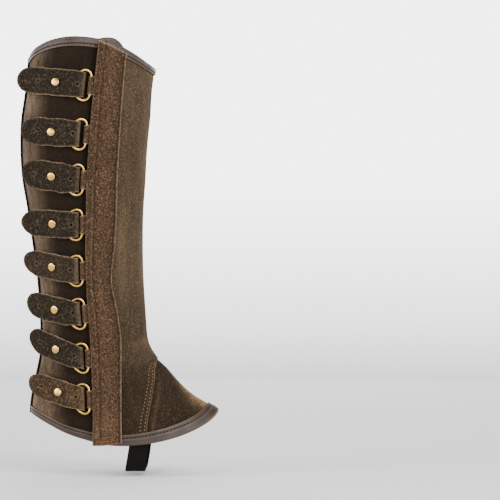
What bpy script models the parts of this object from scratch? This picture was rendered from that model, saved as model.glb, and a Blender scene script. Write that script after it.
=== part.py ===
"""Half chap for a right leg: suede panels round the lower leg, closed on the outer side.

It is shown buckled and filled out as worn, and hangs on the leg.
+X points forward over the instep, -Y is the outer side, +Z is up.
The origin lies on the leg's axis inside the calf, where the leg holds the chap.
Lengths below are in millimetres and angles in degrees.
"""
import math
from functools import lru_cache

import bmesh
import bpy
from mathutils import Matrix, Vector

MM = 0.001

# Heights at the widest place of the sides
HEM_HEIGHT = -279.0
GUSSET_TOP = -187.0
FOLDS_TOP = -91.0
RIM_HEIGHT = 149.7

# Thickness of each material and the gap left between touching pieces
SUEDE = 2.0
BINDING_LEATHER = 1.2
ELASTIC = 1.5
SEAM_GAP = 0.3
LAYER_GAP = 0.4

# Leg form, a row for each section from hem to rim. Heights are taken at the
# widest place of the side, the back line and the front line; a power under 2
# turns a sloping edge sharply at that line, one over 2 turns it softly.
FORM_COLUMNS = ("side_z", "back_x", "back_z", "front_x", "front_z", "half_width",
                "egg", "back_power", "front_power")
FORM_ROWS = (
    (-279.0, -59.2, -248.0, 139.7, -244.5, 46.0, 0.04, 2.3, 1.4),
    (-255.0, -57.6, -231.0, 114.9, -229.0, 45.0, 0.04, 2.2, 1.45),
    (-230.0, -54.4, -214.0, 98.8, -215.0, 43.0, 0.05, 2.2, 1.6),
    (-205.0, -50.8, -196.0, 84.9, -200.0, 41.0, 0.07, 2.1, 1.8),
    (-187.0, -48.8, -183.0, 73.0, -186.0, 40.0, 0.09, 2.0, 2.0),
    (-172.0, -48.4, -171.0, 65.8, -172.0, 40.0, 0.10, 2.0, 2.0),
    (-150.0, -48.0, -150.0, 63.0, -150.0, 41.0, 0.10, 2.0, 2.0),
    (-110.0, -51.0, -110.0, 60.2, -110.0, 43.5, 0.10, 2.0, 2.0),
    (-70.0, -55.3, -70.0, 59.6, -70.0, 47.5, 0.11, 2.0, 2.0),
    (-30.0, -61.9, -30.0, 60.3, -30.0, 52.0, 0.12, 2.0, 2.0),
    (10.0, -68.1, 10.0, 62.9, 10.0, 56.0, 0.13, 2.0, 2.0),
    (60.0, -69.3, 60.0, 66.2, 60.0, 57.0, 0.12, 2.0, 2.0),
    (110.0, -63.9, 101.0, 68.9, 94.0, 55.5, 0.10, 1.5, 2.2),
    (149.7, -60.8, 133.0, 71.8, 121.0, 54.0, 0.09, 1.3, 2.2),
)

# Largest folds of the worn suede: a ridge is positive, a trough negative
FOLD_COLUMNS = ("from_turn", "from_z", "to_turn", "to_z", "half_width", "depth")
FOLD_ROWS = (
    (330.0, -152.0, 262.0, -184.0, 6.0, -3.2),
    (326.0, -164.0, 256.0, -196.0, 6.5, 2.6),
    (276.0, -182.0, 205.0, -158.0, 6.0, -2.4),
    (214.0, -170.0, 196.0, -168.0, 7.0, 2.0),
    (216.0, -134.0, 196.0, -128.0, 8.0, -1.8),
    (214.0, -116.0, 194.0, -110.0, 7.0, 1.4),
    (216.0, -101.0, 196.0, -98.0, 8.0, -1.6),
    (164.0, -169.0, 138.0, -176.0, 6.0, -1.6),
    (162.0, -158.0, 134.0, -160.0, 6.0, 1.2),
    (131.0, -40.0, 129.0, -130.0, 5.0, -1.3),
    (36.0, -196.0, 70.0, -204.0, 7.0, -1.6),
    (300.0, -216.0, 250.0, -226.0, 8.0, -1.8),
)

# Edges of the closure strip, seen from the outer side
STRIP_COLUMNS = ("z", "left_x", "right_x")
STRIP_ROWS = (
    (-279.0, 9.0, 39.4),
    (-242.0, 8.5, 38.6),
    (-200.0, 7.1, 38.0),
    (-165.0, 5.2, 37.0),
    (-132.0, 2.8, 32.2),
    (-107.0, 1.5, 27.6),
    (-70.0, 0.9, 30.6),
    (-30.0, 1.7, 32.8),
    (0.0, 2.5, 33.3),
    (70.0, 7.6, 37.8),
    (149.7, 15.2, 43.2),
)
FLAP_SETBACK = 9.0
UNDERLAP_TOP = 34.0
UNDERLAP_HEM = 20.0
UNDERLAP_DEPTH = 5.4
UNDERLAP_RUN = 34.0

# Seams of the instep gusset, from its top point to the hem
GUSSET_COLUMNS = ("x", "z")
GUSSET_OUTER_SEAM = ((73.1, -197.4), (72.8, -212.1), (70.6, -228.9), (67.6, -245.4), (65.3, -265.7), (65.0, -277.5))
GUSSET_INNER_SEAM = ((71.1, -198.8), (69.6, -212.5), (64.3, -230.0), (56.4, -253.4), (53.0, -271.0), (52.4, -277.5))

# Columns of the main panel's inner half, which the grip patch shares
LAST_INNER_TURN = 352.0
INNER_COLUMNS = 18

# Grip patch on the inner side, with its outline as turn and height
PATCH_THICKNESS = 1.8
PATCH_COLUMNS = ("turn", "z")
PATCH_OUTLINE = (
    (210.0, 65.0), (210.0, -130.0), (213.0, -144.0), (222.0, -157.0), (238.0, -171.0), (256.0, -181.0),
    (272.0, -185.0), (290.0, -184.0), (310.0, -176.0), (327.0, -164.0), (327.0, 90.0), (262.0, 91.0),
    (248.0, 89.0), (230.0, 80.0),
)

# Bindings, welt and elastic
BINDING_WIDTH = 10.0
WELT_HALF_WIDTH = 1.1
WELT_PROUD = 1.4
ELASTIC_WIDTH = 21.0
ELASTIC_TOP_X = 57.6
ELASTIC_BOTTOM_X = 52.6
ELASTIC_BOTTOM_Z = -307.0
ELASTIC_TAIL = 17.0
ELASTIC_BEND = 12.0

# Straps, rings, tabs and studs, measured back from the strip's left edge
STRAP_COLUMNS = ("ring_z", "fold_gap", "stud_distance", "tip_x", "tip_z", "width", "fold_width")
STRAP_ROWS = (
    (99.7, 9.4, 39.0, -71.0, 107.0, 28.5, 26.4),
    (48.0, 10.0, 39.0, -66.6, 53.0, 29.0, 25.7),
    (0.2, 7.4, 35.5, -65.2, 9.0, 30.5, 25.7),
    (-47.0, 7.2, 33.5, -67.4, -43.0, 28.6, 26.4),
    (-95.5, 7.8, 34.5, -65.2, -84.2, 28.0, 26.4),
    (-141.0, 8.0, 34.0, -62.2, -129.6, 28.6, 24.6),
    (-188.0, 8.1, 36.0, -59.8, -166.5, 28.0, 23.0),
    (-231.0, 8.8, 36.5, -60.2, -215.0, 27.0, 24.2),
)
STRAP_THICKNESS = 2.0
STRAP_HELD_PAST_STUD = 3.0
TANGENT_STEP = 3.0
STRAP_DROP_START = 1.5
STRAP_DROP_RUN = 9.0
STRAP_SEWN_END = 56.0
STUD_RADIUS = 4.2
STUD_DOME = 2.6
RING_WIRE = 1.5
RING_HEIGHT = 35.0
RING_BAR = 3.4
RING_DEPTH = 17.0
RING_CORNER = 6.5
TAB_HEIGHT = 20.0
TAB_LEATHER = 1.2
TAB_NECK_END = 8.2
FOLD_RADIUS = RING_WIRE + LAYER_GAP


def smooth_step(value):
    """Rise from 0 to 1 with level ends."""
    value = min(max(value, 0.0), 1.0)
    return value * value * (3.0 - 2.0 * value)


def table_value(rows, place, column):
    """Read one column of a table at a place between its rows, on a smooth curve."""
    keys = [row[0] for row in rows]
    last = len(rows) - 2
    index = min(max(sum(key <= place for key in keys) - 1, 0), last)

    def slope(number):
        low, high = rows[max(number - 1, 0)], rows[min(number + 1, len(rows) - 1)]
        return (high[column] - low[column]) / (high[0] - low[0])

    start, end = rows[index], rows[index + 1]
    span = end[0] - start[0]
    part = (place - start[0]) / span
    if part < 0.0:
        return start[column] + slope(index) * part * span
    if part > 1.0:
        return end[column] + slope(index + 1) * (part - 1.0) * span
    square, cube = part * part, part ** 3
    return ((2 * cube - 3 * square + 1) * start[column] + (cube - 2 * square + part) * span * slope(index)
            + (3 * square - 2 * cube) * end[column] + (cube - square) * span * slope(index + 1))


@lru_cache(maxsize=None)
def section(height):
    """Measures of the leg form at one side height."""
    return [table_value(FORM_ROWS, height, column) for column in range(1, len(FORM_COLUMNS))]


def form_point(turn, height):
    """Point of the smooth leg form; turn 0 is the back line, 90 the outer side, 180 the front."""
    back_x, back_z, front_x, front_z, half_width, egg, back_power, front_power = section(height)
    back_share, side_share = math.cos(math.radians(turn)), math.sin(math.radians(turn))
    x = (back_x + front_x) / 2 - (front_x - back_x) / 2 * back_share
    y = -half_width * side_share * (1 + egg * back_share)
    level = (back_z + front_z) / 2
    slope = (back_z - front_z) / 2 * back_share
    power = back_power if back_share > 0 else front_power
    return Vector((x, y, level + slope + (height - level) * abs(side_share) ** power))


def form_normal(turn, height):
    """Outward direction of the smooth leg form."""
    around = form_point(turn + 0.8, height) - form_point(turn - 0.8, height)
    upward = form_point(turn, height + 1.0) - form_point(turn, height - 1.0)
    return around.cross(upward).normalized()


def fold_lift(turn, height):
    """How far the folds move the suede out at a place."""
    place = Vector((turn, height))
    lift = 0.0
    for from_turn, from_z, to_turn, to_z, half_width, depth in FOLD_ROWS:
        start, run = Vector((from_turn, from_z)), Vector((to_turn - from_turn, to_z - from_z))
        share = (place - start).dot(run) / run.length_squared
        if -0.3 < share < 1.3:
            across = (place - start - run * share).length
            ends = smooth_step((share + 0.3) / 0.4) * smooth_step((1.3 - share) / 0.4)
            lift += depth * ends * math.exp(-(across / half_width) ** 2)
    return lift


@lru_cache(maxsize=None)
def shell_point(turn, height, lift):
    """Point at a lift above the folded outer face of the suede."""
    return form_point(turn, height) + form_normal(turn, height) * (lift + fold_lift(turn, height))


def outer_turn(height, x):
    """Turn on the outer side at which the form has a given x."""
    back_x, _, front_x, *_ = section(height)
    return math.degrees(math.acos(((back_x + front_x) / 2 - x) / ((front_x - back_x) / 2)))


def locate(x, z):
    """Turn and side height of the outer form point at x and z."""
    height = z
    for _ in range(12):
        turn = outer_turn(height, x)
        height += z - form_point(turn, height).z
    return turn, height


def turn_behind(turn, height, distance):
    """Turn that lies a distance behind a given turn, measured along the form."""
    steps = 6
    for _ in range(steps):
        around = (form_point(turn + 0.5, height) - form_point(turn - 0.5, height)).length
        turn -= distance / steps / around
    return turn


@lru_cache(maxsize=None)
def strip_left(height):
    return outer_turn(height, table_value(STRIP_ROWS, height, 1))


@lru_cache(maxsize=None)
def strip_right(height):
    return outer_turn(height, table_value(STRIP_ROWS, height, 2))


@lru_cache(maxsize=None)
def flap_edge(height):
    return turn_behind(strip_left(height), height, -FLAP_SETBACK)


@lru_cache(maxsize=None)
def underlap_edge(height):
    share = (height - HEM_HEIGHT) / (RIM_HEIGHT - HEM_HEIGHT)
    width = UNDERLAP_HEM + (UNDERLAP_TOP - UNDERLAP_HEM) * share
    return turn_behind(strip_left(height), height, -width)


@lru_cache(maxsize=None)
def rear_lift(turn, height):
    """Lift of the rear panel, which dives under the flap."""
    end = turn_behind(strip_left(height), height, 1.0)
    start = turn_behind(end, height, UNDERLAP_RUN)
    return -UNDERLAP_DEPTH * smooth_step((turn - start) / (end - start))


@lru_cache(maxsize=None)
def gusset_turn(height, inner):
    """Turn of a gusset seam at a side height; both seams start at the top point."""
    seam = GUSSET_INNER_SEAM if inner else GUSSET_OUTER_SEAM
    if height >= GUSSET_TOP - 0.01:
        return 180.0
    places = [locate(x, z) for x, z in seam]
    rows = [(GUSSET_TOP, 180.0)] + [(high, turn) for turn, high in places]
    rows = sorted(rows)
    turn = min(table_value(rows, height, 1), 180.0)
    return 360.0 - turn if inner else turn


def material(name, color, roughness, metallic=0.0):
    made = bpy.data.materials.new(name)
    made.use_nodes = True
    shader = made.node_tree.nodes["Principled BSDF"]
    shader.inputs["Base Color"].default_value = (*color, 1.0)
    shader.inputs["Roughness"].default_value = roughness
    shader.inputs["Metallic"].default_value = metallic
    made.diffuse_color = (*color, 1.0)
    return made


def finish_piece(name, mesh_in_progress, look, smooth_angle=35.0):
    """Turn a bmesh in millimetres into a named object in metres."""
    bmesh.ops.triangulate(mesh_in_progress, faces=mesh_in_progress.faces[:])
    bmesh.ops.recalc_face_normals(mesh_in_progress, faces=mesh_in_progress.faces[:])
    bmesh.ops.transform(mesh_in_progress, matrix=Matrix.Scale(MM, 4), verts=mesh_in_progress.verts[:])
    mesh = bpy.data.meshes.new(name)
    mesh_in_progress.to_mesh(mesh)
    mesh_in_progress.free()
    mesh.shade_smooth()
    mesh.set_sharp_from_angle(angle=math.radians(smooth_angle))
    mesh.materials.append(look)
    piece = bpy.data.objects.new(name, mesh)
    bpy.context.scene.collection.objects.link(piece)
    return piece


def wall_piece(name, cells, outer_place, inner_place, look):
    """Closed wall over a patchwork of cells, whose corners are (turn, height) places."""
    work = bmesh.new()
    outer, inner = {}, {}
    for cell in cells:
        for place in cell:
            if place not in outer:
                outer[place] = work.verts.new(outer_place(*place))
                inner[place] = work.verts.new(inner_place(*place))
    edge_uses = {}
    for cell in cells:
        corners = [place for index, place in enumerate(cell) if place != cell[index - 1]]
        if len(corners) < 3:
            continue
        work.faces.new([outer[place] for place in corners])
        work.faces.new([inner[place] for place in reversed(corners)])
        for start, end in zip(corners, corners[1:] + corners[:1]):
            edge_uses[(start, end)] = True
    for start, end in edge_uses:
        if (end, start) not in edge_uses:
            work.faces.new([outer[start], inner[start], inner[end], outer[end]])
    return finish_piece(name, work, look)


def grid_cells(heights, columns):
    """Triangles between neighbouring rows and columns; columns(height) lists the turns of a row."""
    cells = []
    for low, high in zip(heights, heights[1:]):
        low_turns, high_turns = columns(low), columns(high)
        for index in range(len(low_turns) - 1):
            start, end = (low_turns[index], low), (high_turns[index + 1], high)
            cells.append((start, (low_turns[index + 1], low), end))
            cells.append((start, end, (high_turns[index], high)))
    return cells


def spread(start, end, count):
    """Evenly spaced values, rounded so that shared places match."""
    return [round(start + (end - start) * index / count, 5) for index in range(count + 1)]


def swept_piece(name, stations, look, smooth_angle=35.0):
    """Closed band through stations, each a ring of points in order."""
    work = bmesh.new()
    rings = [[work.verts.new(point) for point in station] for station in stations]
    count = len(rings[0])
    for first, second in zip(rings, rings[1:]):
        for index in range(count):
            after = (index + 1) % count
            work.faces.new([first[index], first[after], second[after], second[index]])
    work.faces.new(list(reversed(rings[0])))
    work.faces.new(rings[-1])
    return finish_piece(name, work, look, smooth_angle)


def panel_heights():
    """Rows of the panels, closest over the ankle's folds."""
    return ([HEM_HEIGHT] + spread(HEM_HEIGHT + BINDING_WIDTH, GUSSET_TOP, 6) + spread(GUSSET_TOP, FOLDS_TOP, 11)[1:]
            + spread(FOLDS_TOP, RIM_HEIGHT - BINDING_WIDTH, 10)[1:] + [RIM_HEIGHT])


def back_seam_turn(height):
    """Half turn taken by the welt and its seam gaps at the back line."""
    around = (form_point(0.5, height) - form_point(-0.5, height)).length
    return (WELT_HALF_WIDTH + SEAM_GAP) / around


def seam_gap_turn(height):
    """Turn that a seam gap takes beside the gusset."""
    if height >= GUSSET_TOP - 0.01:
        return 0.0
    around = (form_point(150.5, height) - form_point(149.5, height)).length
    return SEAM_GAP / around


def rear_columns(height):
    return spread(back_seam_turn(height), underlap_edge(height), 15)


def outer_columns(height):
    return spread(flap_edge(height), gusset_turn(height, False) - seam_gap_turn(height), 8)


def inner_columns(height):
    turns = spread(gusset_turn(height, True) + seam_gap_turn(height), LAST_INNER_TURN, INNER_COLUMNS)
    return turns + [360.0 - back_seam_turn(height)]


def gusset_columns(height):
    margin = seam_gap_turn(height)
    return spread(gusset_turn(height, False) + margin, gusset_turn(height, True) - margin, 16)


def rear_panel(look):
    """Dark suede panel under the straps, from the back seam to its underlap."""
    def face(lift):
        return lambda turn, height: shell_point(turn, height, rear_lift(turn, height) + lift)

    heights = [HEM_HEIGHT] + spread(HEM_HEIGHT + BINDING_WIDTH, RIM_HEIGHT - BINDING_WIDTH, 20) + [RIM_HEIGHT]
    wall_piece("rear_panel", grid_cells(heights, rear_columns), face(0.0), face(-SUEDE), look)


def main_panel(look):
    """Suede panel from the flap's edge over the shin and round the inner side to the back seam."""
    heights = panel_heights()
    cells = grid_cells(heights, outer_columns) + grid_cells(heights, inner_columns)
    wall_piece("main_panel", cells, lambda turn, height: shell_point(turn, height, 0.0),
               lambda turn, height: shell_point(turn, height, -SUEDE), look)


def gusset_panel(look):
    """Instep gusset between the two seams, down to the tongue's tip."""
    heights = panel_heights()[:7] + [GUSSET_TOP - 4.0]
    cells = grid_cells(heights, gusset_columns)
    wall_piece("instep_gusset", cells, lambda turn, height: shell_point(turn, height, 0.0),
               lambda turn, height: shell_point(turn, height, -SUEDE), look)


def closure_strip(look):
    """Long suede band sewn over the flap's edge."""
    def columns(height):
        return spread(strip_left(height), strip_right(height), 4)

    wall_piece("closure_strip", grid_cells(panel_heights(), columns),
               lambda turn, height: shell_point(turn, height, LAYER_GAP + SUEDE),
               lambda turn, height: shell_point(turn, height, LAYER_GAP), look)


def faceted_point(turn, height, lift):
    """Point over the flat triangles of the main panel's inner half."""
    heights, turns = panel_heights(), spread(180.0, LAST_INNER_TURN, INNER_COLUMNS)
    row = min(max(sum(level <= height for level in heights) - 1, 0), len(heights) - 2)
    column = min(max(sum(value <= turn for value in turns) - 1, 0), len(turns) - 2)
    low, high = heights[row], heights[row + 1]
    left, right = turns[column], turns[column + 1]
    across, rise = (turn - left) / (right - left), (height - low) / (high - low)
    shared = shell_point(left, low, lift) * (1.0 - max(across, rise)) + shell_point(right, high, lift) * min(across, rise)
    if across >= rise:
        return shared + shell_point(right, low, lift) * (across - rise)
    return shared + shell_point(left, high, lift) * (rise - across)


def grip_patch(look):
    """Suede patch sewn on the inner side, cut from the panel's own cells by its outline."""
    flat = bmesh.new()
    corners = {}
    for cell in grid_cells(panel_heights(), lambda height: spread(180.0, LAST_INNER_TURN, INNER_COLUMNS)):
        for place in cell:
            corners[place] = corners.get(place) or flat.verts.new((*place, 0.0))
        flat.faces.new([corners[place] for place in cell])
    for start, end in zip(PATCH_OUTLINE, PATCH_OUTLINE[1:] + PATCH_OUTLINE[:1]):
        outward = Vector((start[1] - end[1], end[0] - start[0], 0.0))
        everything = flat.verts[:] + flat.edges[:] + flat.faces[:]
        bmesh.ops.bisect_plane(flat, geom=everything, dist=0.05, plane_co=(*start, 0.0), plane_no=outward,
                               clear_inner=True)
    cells = [tuple((round(corner.co.x, 4), round(corner.co.y, 4)) for corner in face.verts)
             for face in flat.faces]
    flat.free()
    wall_piece("grip_patch", cells, lambda turn, height: faceted_point(turn, height, LAYER_GAP + PATCH_THICKNESS),
               lambda turn, height: faceted_point(turn, height, LAYER_GAP), look)


def binding(name, look, edge_height, columns, base_lift):
    """Leather binding folded round a panel's edge, in a U profile, on the panel's own columns."""
    inward = 1.0 if edge_height < 0 else -1.0
    outer_low, outer_high = SEAM_GAP, SEAM_GAP + BINDING_LEATHER
    inner_high, inner_low = -SUEDE - SEAM_GAP, -SUEDE - SEAM_GAP - BINDING_LEATHER
    profile = (
        (BINDING_WIDTH, outer_low), (BINDING_WIDTH, outer_high), (0.0, outer_high), (-1.5, 0.3),
        (-1.5, -SUEDE - 0.3), (0.0, inner_low), (BINDING_WIDTH, inner_low),
        (BINDING_WIDTH, inner_high), (-SEAM_GAP, inner_high), (-SEAM_GAP, outer_low),
    )
    rows = [(columns(edge_height + inward * inset), edge_height + inward * inset, lift) for inset, lift in profile]
    stations = []
    for number in range(len(rows[0][0])):
        stations.append([shell_point(turns[number], height, base_lift(turns[number], height) + lift)
                         for turns, height, lift in rows])
    swept_piece(name, stations, look)


def front_binding_columns(edge_height):
    """Columns of the front binding, which starts beside the strip."""
    heights = spread(edge_height, math.copysign(abs(edge_height) - BINDING_WIDTH, edge_height), 4)
    start = turn_behind(max(strip_right(height) for height in heights), edge_height, -2 * SEAM_GAP)
    skipped = sum(turn < start + 2.0 for turn in outer_columns(edge_height))

    def columns(height):
        turns = [start] + outer_columns(height)[skipped:]
        if height < GUSSET_TOP:
            turns += gusset_columns(height)
        return turns + inner_columns(height)[edge_height > 0:]

    return columns


def bindings(look):
    """Rear and front bindings of the rim and the hem; the strip covers their meeting."""
    for label, edge_height in (("rim", RIM_HEIGHT), ("hem", HEM_HEIGHT)):
        binding(f"{label}_binding_rear", look, edge_height, rear_columns, rear_lift)
        binding(f"{label}_binding_front", look, edge_height, front_binding_columns(edge_height),
                lambda turn, height: 0.0)


def back_welt(look):
    """Narrow leather welt in the back seam."""
    stations = []
    for height in panel_heights():
        around = (form_point(0.5, height) - form_point(-0.5, height)).length
        half = WELT_HALF_WIDTH / around
        stations.append([
            shell_point(-half, height, -SUEDE), shell_point(half, height, -SUEDE),
            shell_point(half, height, WELT_PROUD * 0.6), shell_point(0.0, height, WELT_PROUD),
            shell_point(-half, height, WELT_PROUD * 0.6),
        ])
    swept_piece("back_welt", stations, look)


def elastic_edge(offset):
    """Outer line of one edge of the elastic, from inside the outer hem to inside the inner hem."""
    turn = outer_turn(HEM_HEIGHT, ELASTIC_TOP_X + offset)
    lift = -SUEDE - 2 * SEAM_GAP - BINDING_LEATHER - LAYER_GAP
    half = [shell_point(turn, HEM_HEIGHT + reach, lift) for reach in (ELASTIC_TAIL, ELASTIC_TAIL / 2, 0.0)]
    edge_y = half[-1].y
    for angle in (0.0, 22.5, 45.0, 67.5, 90.0):
        bend = math.radians(angle)
        height = ELASTIC_BOTTOM_Z + ELASTIC_BEND * (1 - math.sin(bend))
        share = (height - ELASTIC_BOTTOM_Z) / (HEM_HEIGHT - ELASTIC_BOTTOM_Z)
        x = ELASTIC_BOTTOM_X + (ELASTIC_TOP_X - ELASTIC_BOTTOM_X) * share + offset
        half.append(Vector((x, edge_y + ELASTIC_BEND * (1 - math.cos(bend)), height)))
    half.append(Vector((half[-1].x, half[-1].y / 2, ELASTIC_BOTTOM_Z)))
    middle = Vector((half[-1].x, 0.0, ELASTIC_BOTTOM_Z))
    return half + [middle] + [Vector((point.x, -point.y, point.z)) for point in reversed(half)]


def foot_elastic(look):
    """Elastic band sewn inside the hem on both sides, running under the foot."""
    edges = []
    for offset in (-ELASTIC_WIDTH / 2, ELASTIC_WIDTH / 2):
        outside = elastic_edge(offset)
        inside = []
        for index, point in enumerate(outside):
            run = outside[min(index + 1, len(outside) - 1)] - outside[max(index - 1, 0)]
            inside.append(point + Vector((0.0, -run.z, run.y)).normalized() * ELASTIC)
        edges.append((outside, inside))
    stations = [(low_out, high_out, high_in, low_in) for low_out, low_in, high_out, high_in
                in zip(*edges[0], *edges[1])]
    swept_piece("foot_elastic", stations, look)


class StrapPlace:
    """Maps distances behind the strip's left edge onto the outer side for one strap."""

    def __init__(self, ring_z, fold_gap, stud_distance, tip_x, tip_z, width, fold_width):
        self.ring_z, self.fold_gap, self.stud_distance = ring_z, fold_gap, stud_distance
        self.tip_z, self.width, self.fold_width = tip_z, width, fold_width
        self.ring_height = self.height_at(fold_gap, ring_z)
        self.held = stud_distance + STRAP_HELD_PAST_STUD
        end, along = self.end_of_hold(tip_z, LAYER_GAP + STRAP_THICKNESS)
        self.reach = self.held + (tip_x - end.x) / along.x

    def height_at(self, distance, z):
        """Side height of the place at a distance behind the strip and at a true height."""
        height = z
        for _ in range(8):
            turn = turn_behind(strip_left(height), height, distance)
            height += z - form_point(turn, height).z
        return height

    def base(self, distance, height, lift):
        """Point above the rear panel at a distance along the form."""
        turn = turn_behind(strip_left(height), height, distance)
        rise = rear_lift(turn, height) + lift
        return form_point(turn, height) + form_normal(turn, height) * rise

    def sewn_point(self, distance, z, lift):
        """Point of the layer that is sewn to the rear panel."""
        return self.base(distance, self.height_at(distance, z), lift)

    def end_of_hold(self, z, lift):
        """Last point that the stud holds down, and the direction of the strap there."""
        end = self.sewn_point(self.held, z, lift)
        return end, (end - self.sewn_point(self.held - TANGENT_STEP, z, lift)).normalized()

    def point(self, distance, z, lift):
        """Point of the upper layer, which runs straight on past the stud."""
        if distance <= self.held:
            return self.sewn_point(distance, z, lift)
        end, along = self.end_of_hold(z, lift)
        return end + along * (distance - self.held)

    def centre_z(self, distance):
        share = (distance - self.fold_gap) / (self.reach - self.fold_gap)
        return self.ring_z + (self.tip_z - self.ring_z) * share

    def half_width_at(self, distance):
        share = min((distance - self.fold_gap) / 16.0, 1.0)
        half = (self.fold_width + (self.width - self.fold_width) * max(share, 0.0)) / 2
        left = self.reach - distance
        if left < half:
            half *= math.sqrt(max(1.0 - ((half - left) / half) ** 2, 0.05))
        return half


def upper_lift(distance, crest):
    """Lift of the strap's upper layer: over the wire, then down on the sewn layer."""
    over_wire = LAYER_GAP + STRAP_THICKNESS + 2 * FOLD_RADIUS
    on_layer = LAYER_GAP + STRAP_THICKNESS + LAYER_GAP
    dropped = smooth_step((distance - crest - RING_WIRE - STRAP_DROP_START) / STRAP_DROP_RUN)
    return over_wire + (on_layer - over_wire) * dropped


def strap(number, place, look):
    """Suede strap sewn on behind, passed through its ring and folded back over the stud."""
    crest = RING_BAR + RING_DEPTH
    bend_distance = place.fold_gap + FOLD_RADIUS + STRAP_THICKNESS
    bend_lift = LAYER_GAP + STRAP_THICKNESS + FOLD_RADIUS
    pairs = [(distance, LAYER_GAP + STRAP_THICKNESS, distance, LAYER_GAP)
             for distance in spread(STRAP_SEWN_END, bend_distance, 6)]
    for angle in (45.0, 90.0, 135.0):
        forward, upward = math.sin(math.radians(angle)), -math.cos(math.radians(angle))
        inner, outer = FOLD_RADIUS, FOLD_RADIUS + STRAP_THICKNESS
        pairs.append((bend_distance - inner * forward, bend_lift + inner * upward,
                      bend_distance - outer * forward, bend_lift + outer * upward))
    past_wire = crest + RING_WIRE + STRAP_DROP_START
    upper = spread(bend_distance, past_wire, 2) + spread(past_wire, past_wire + STRAP_DROP_RUN, 4)[1:]
    upper += spread(past_wire + STRAP_DROP_RUN, place.reach - 13.0, 3)[1:]
    upper += [place.reach - left for left in (9.0, 5.0, 2.0, 0.0)]
    for distance in upper:
        lift = upper_lift(distance, crest)
        pairs.append((distance, lift, distance, lift + STRAP_THICKNESS))
    stations = []
    for index, (inner_distance, inner_lift, outer_distance, outer_lift) in enumerate(pairs):
        sewn = index < 7
        half = min(place.half_width_at(outer_distance), place.fold_width / 2) if sewn \
            else place.half_width_at(outer_distance)
        centre = place.centre_z(outer_distance)
        layer_point = place.sewn_point if sewn else place.point
        ring = []
        for side in (-1.0, 0.0, 1.0):
            ring.append(layer_point(inner_distance, centre + side * half, inner_lift))
        for side in (1.0, 0.0, -1.0):
            ring.append(layer_point(outer_distance, centre + side * half, outer_lift))
        stations.append(ring)
    swept_piece(f"strap_{number}", stations, look)


def ring_outline():
    """Centre line of the D shaped ring: distance behind the strip edge and height."""
    half, corner = RING_HEIGHT / 2 - RING_WIRE, RING_CORNER
    points = [(RING_BAR, side * share) for side, share in ((-1.0, half - corner), (1.0, half - corner))]
    for angle in (20.0, 55.0):
        turn = math.radians(angle)
        points.append((RING_BAR + corner * (1 - math.cos(turn)), half - corner + corner * math.sin(turn)))
    for angle in spread(90.0, -90.0, 10):
        turn = math.radians(angle)
        points.append((RING_BAR + corner + (RING_DEPTH - corner) * math.cos(turn), half * math.sin(turn)))
    for angle in (55.0, 20.0):
        turn = math.radians(angle)
        points.append((RING_BAR + corner * (1 - math.cos(turn)), -half + corner - corner * math.sin(turn)))
    return points


def bar_lift():
    """Lift of the ring's bar above the dived rear panel, inside its tab."""
    return UNDERLAP_DEPTH + LAYER_GAP - SEAM_GAP - TAB_LEATHER


def d_ring(number, place, look):
    """Brass wire ring; its bar lies in the tab and its bow under the strap."""
    bow_lift = LAYER_GAP + STRAP_THICKNESS + FOLD_RADIUS
    centres = []
    for distance, rise in ring_outline():
        share = smooth_step((distance - RING_BAR) / (RING_DEPTH / 2))
        centres.append(place.base(distance, place.ring_height + rise, bar_lift() + (bow_lift - bar_lift()) * share))
    work = bmesh.new()
    rings = []
    sides = 6
    middle = sum(centres, Vector()) / len(centres)
    flat = (centres[0] - middle).cross(centres[4] - middle).normalized()
    for index, centre in enumerate(centres):
        along = (centres[(index + 1) % len(centres)] - centres[index - 1]).normalized()
        out = along.cross(flat).normalized()
        up = out.cross(along).normalized()
        rings.append([work.verts.new(centre + out * RING_WIRE * math.cos(math.tau * side / sides)
                                     + up * RING_WIRE * math.sin(math.tau * side / sides))
                      for side in range(sides)])
    for index, first in enumerate(rings):
        second = rings[(index + 1) % len(rings)]
        for side in range(sides):
            after = (side + 1) % sides
            work.faces.new([first[side], first[after], second[after], second[side]])
    finish_piece(f"d_ring_{number}", work, look, 70.0)


def ring_tab(number, place, look):
    """Leather tab folded round the ring's bar, its ends under the strip."""
    centre = bar_lift()
    inner, outer = RING_WIRE + SEAM_GAP, RING_WIRE + SEAM_GAP + TAB_LEATHER
    high = UNDERLAP_DEPTH + LAYER_GAP - SEAM_GAP
    low = high - 2 * TAB_LEATHER
    outside = [(-TAB_NECK_END, high), (SEAM_GAP, high)]
    for angle in (40.0, 65.0, 90.0, 125.0, 160.0, 200.0, 235.0, 270.0):
        turn = math.radians(angle)
        outside.append((RING_BAR - outer * math.cos(turn), centre + outer * math.sin(turn)))
    outside.append((-TAB_NECK_END, low))
    inside = []
    for angle in spread(0.0, 315.0, 7):
        turn = math.radians(angle)
        inside.append((RING_BAR - inner * math.cos(turn), centre + inner * math.sin(turn)))
    work = bmesh.new()
    half = TAB_HEIGHT / 2
    levels = []
    for rise in (-half, half):
        height = place.ring_height + rise
        levels.append(([work.verts.new(place.base(distance, height, lift)) for distance, lift in outside],
                       [work.verts.new(place.base(distance, height, lift)) for distance, lift in inside]))
    for loop_index in (0, 1):
        low_loop, high_loop = levels[0][loop_index], levels[1][loop_index]
        for index in range(len(low_loop)):
            after = (index + 1) % len(low_loop)
            work.faces.new([low_loop[index], low_loop[after], high_loop[after], high_loop[index]])
    for outer_loop, inner_loop in levels:
        edges = []
        for loop in (outer_loop, inner_loop):
            for index in range(len(loop)):
                edges.append(work.edges.get((loop[index], loop[(index + 1) % len(loop)])))
        bmesh.ops.triangle_fill(work, edges=edges, use_beauty=True)
    finish_piece(f"ring_tab_{number}", work, look)


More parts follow.
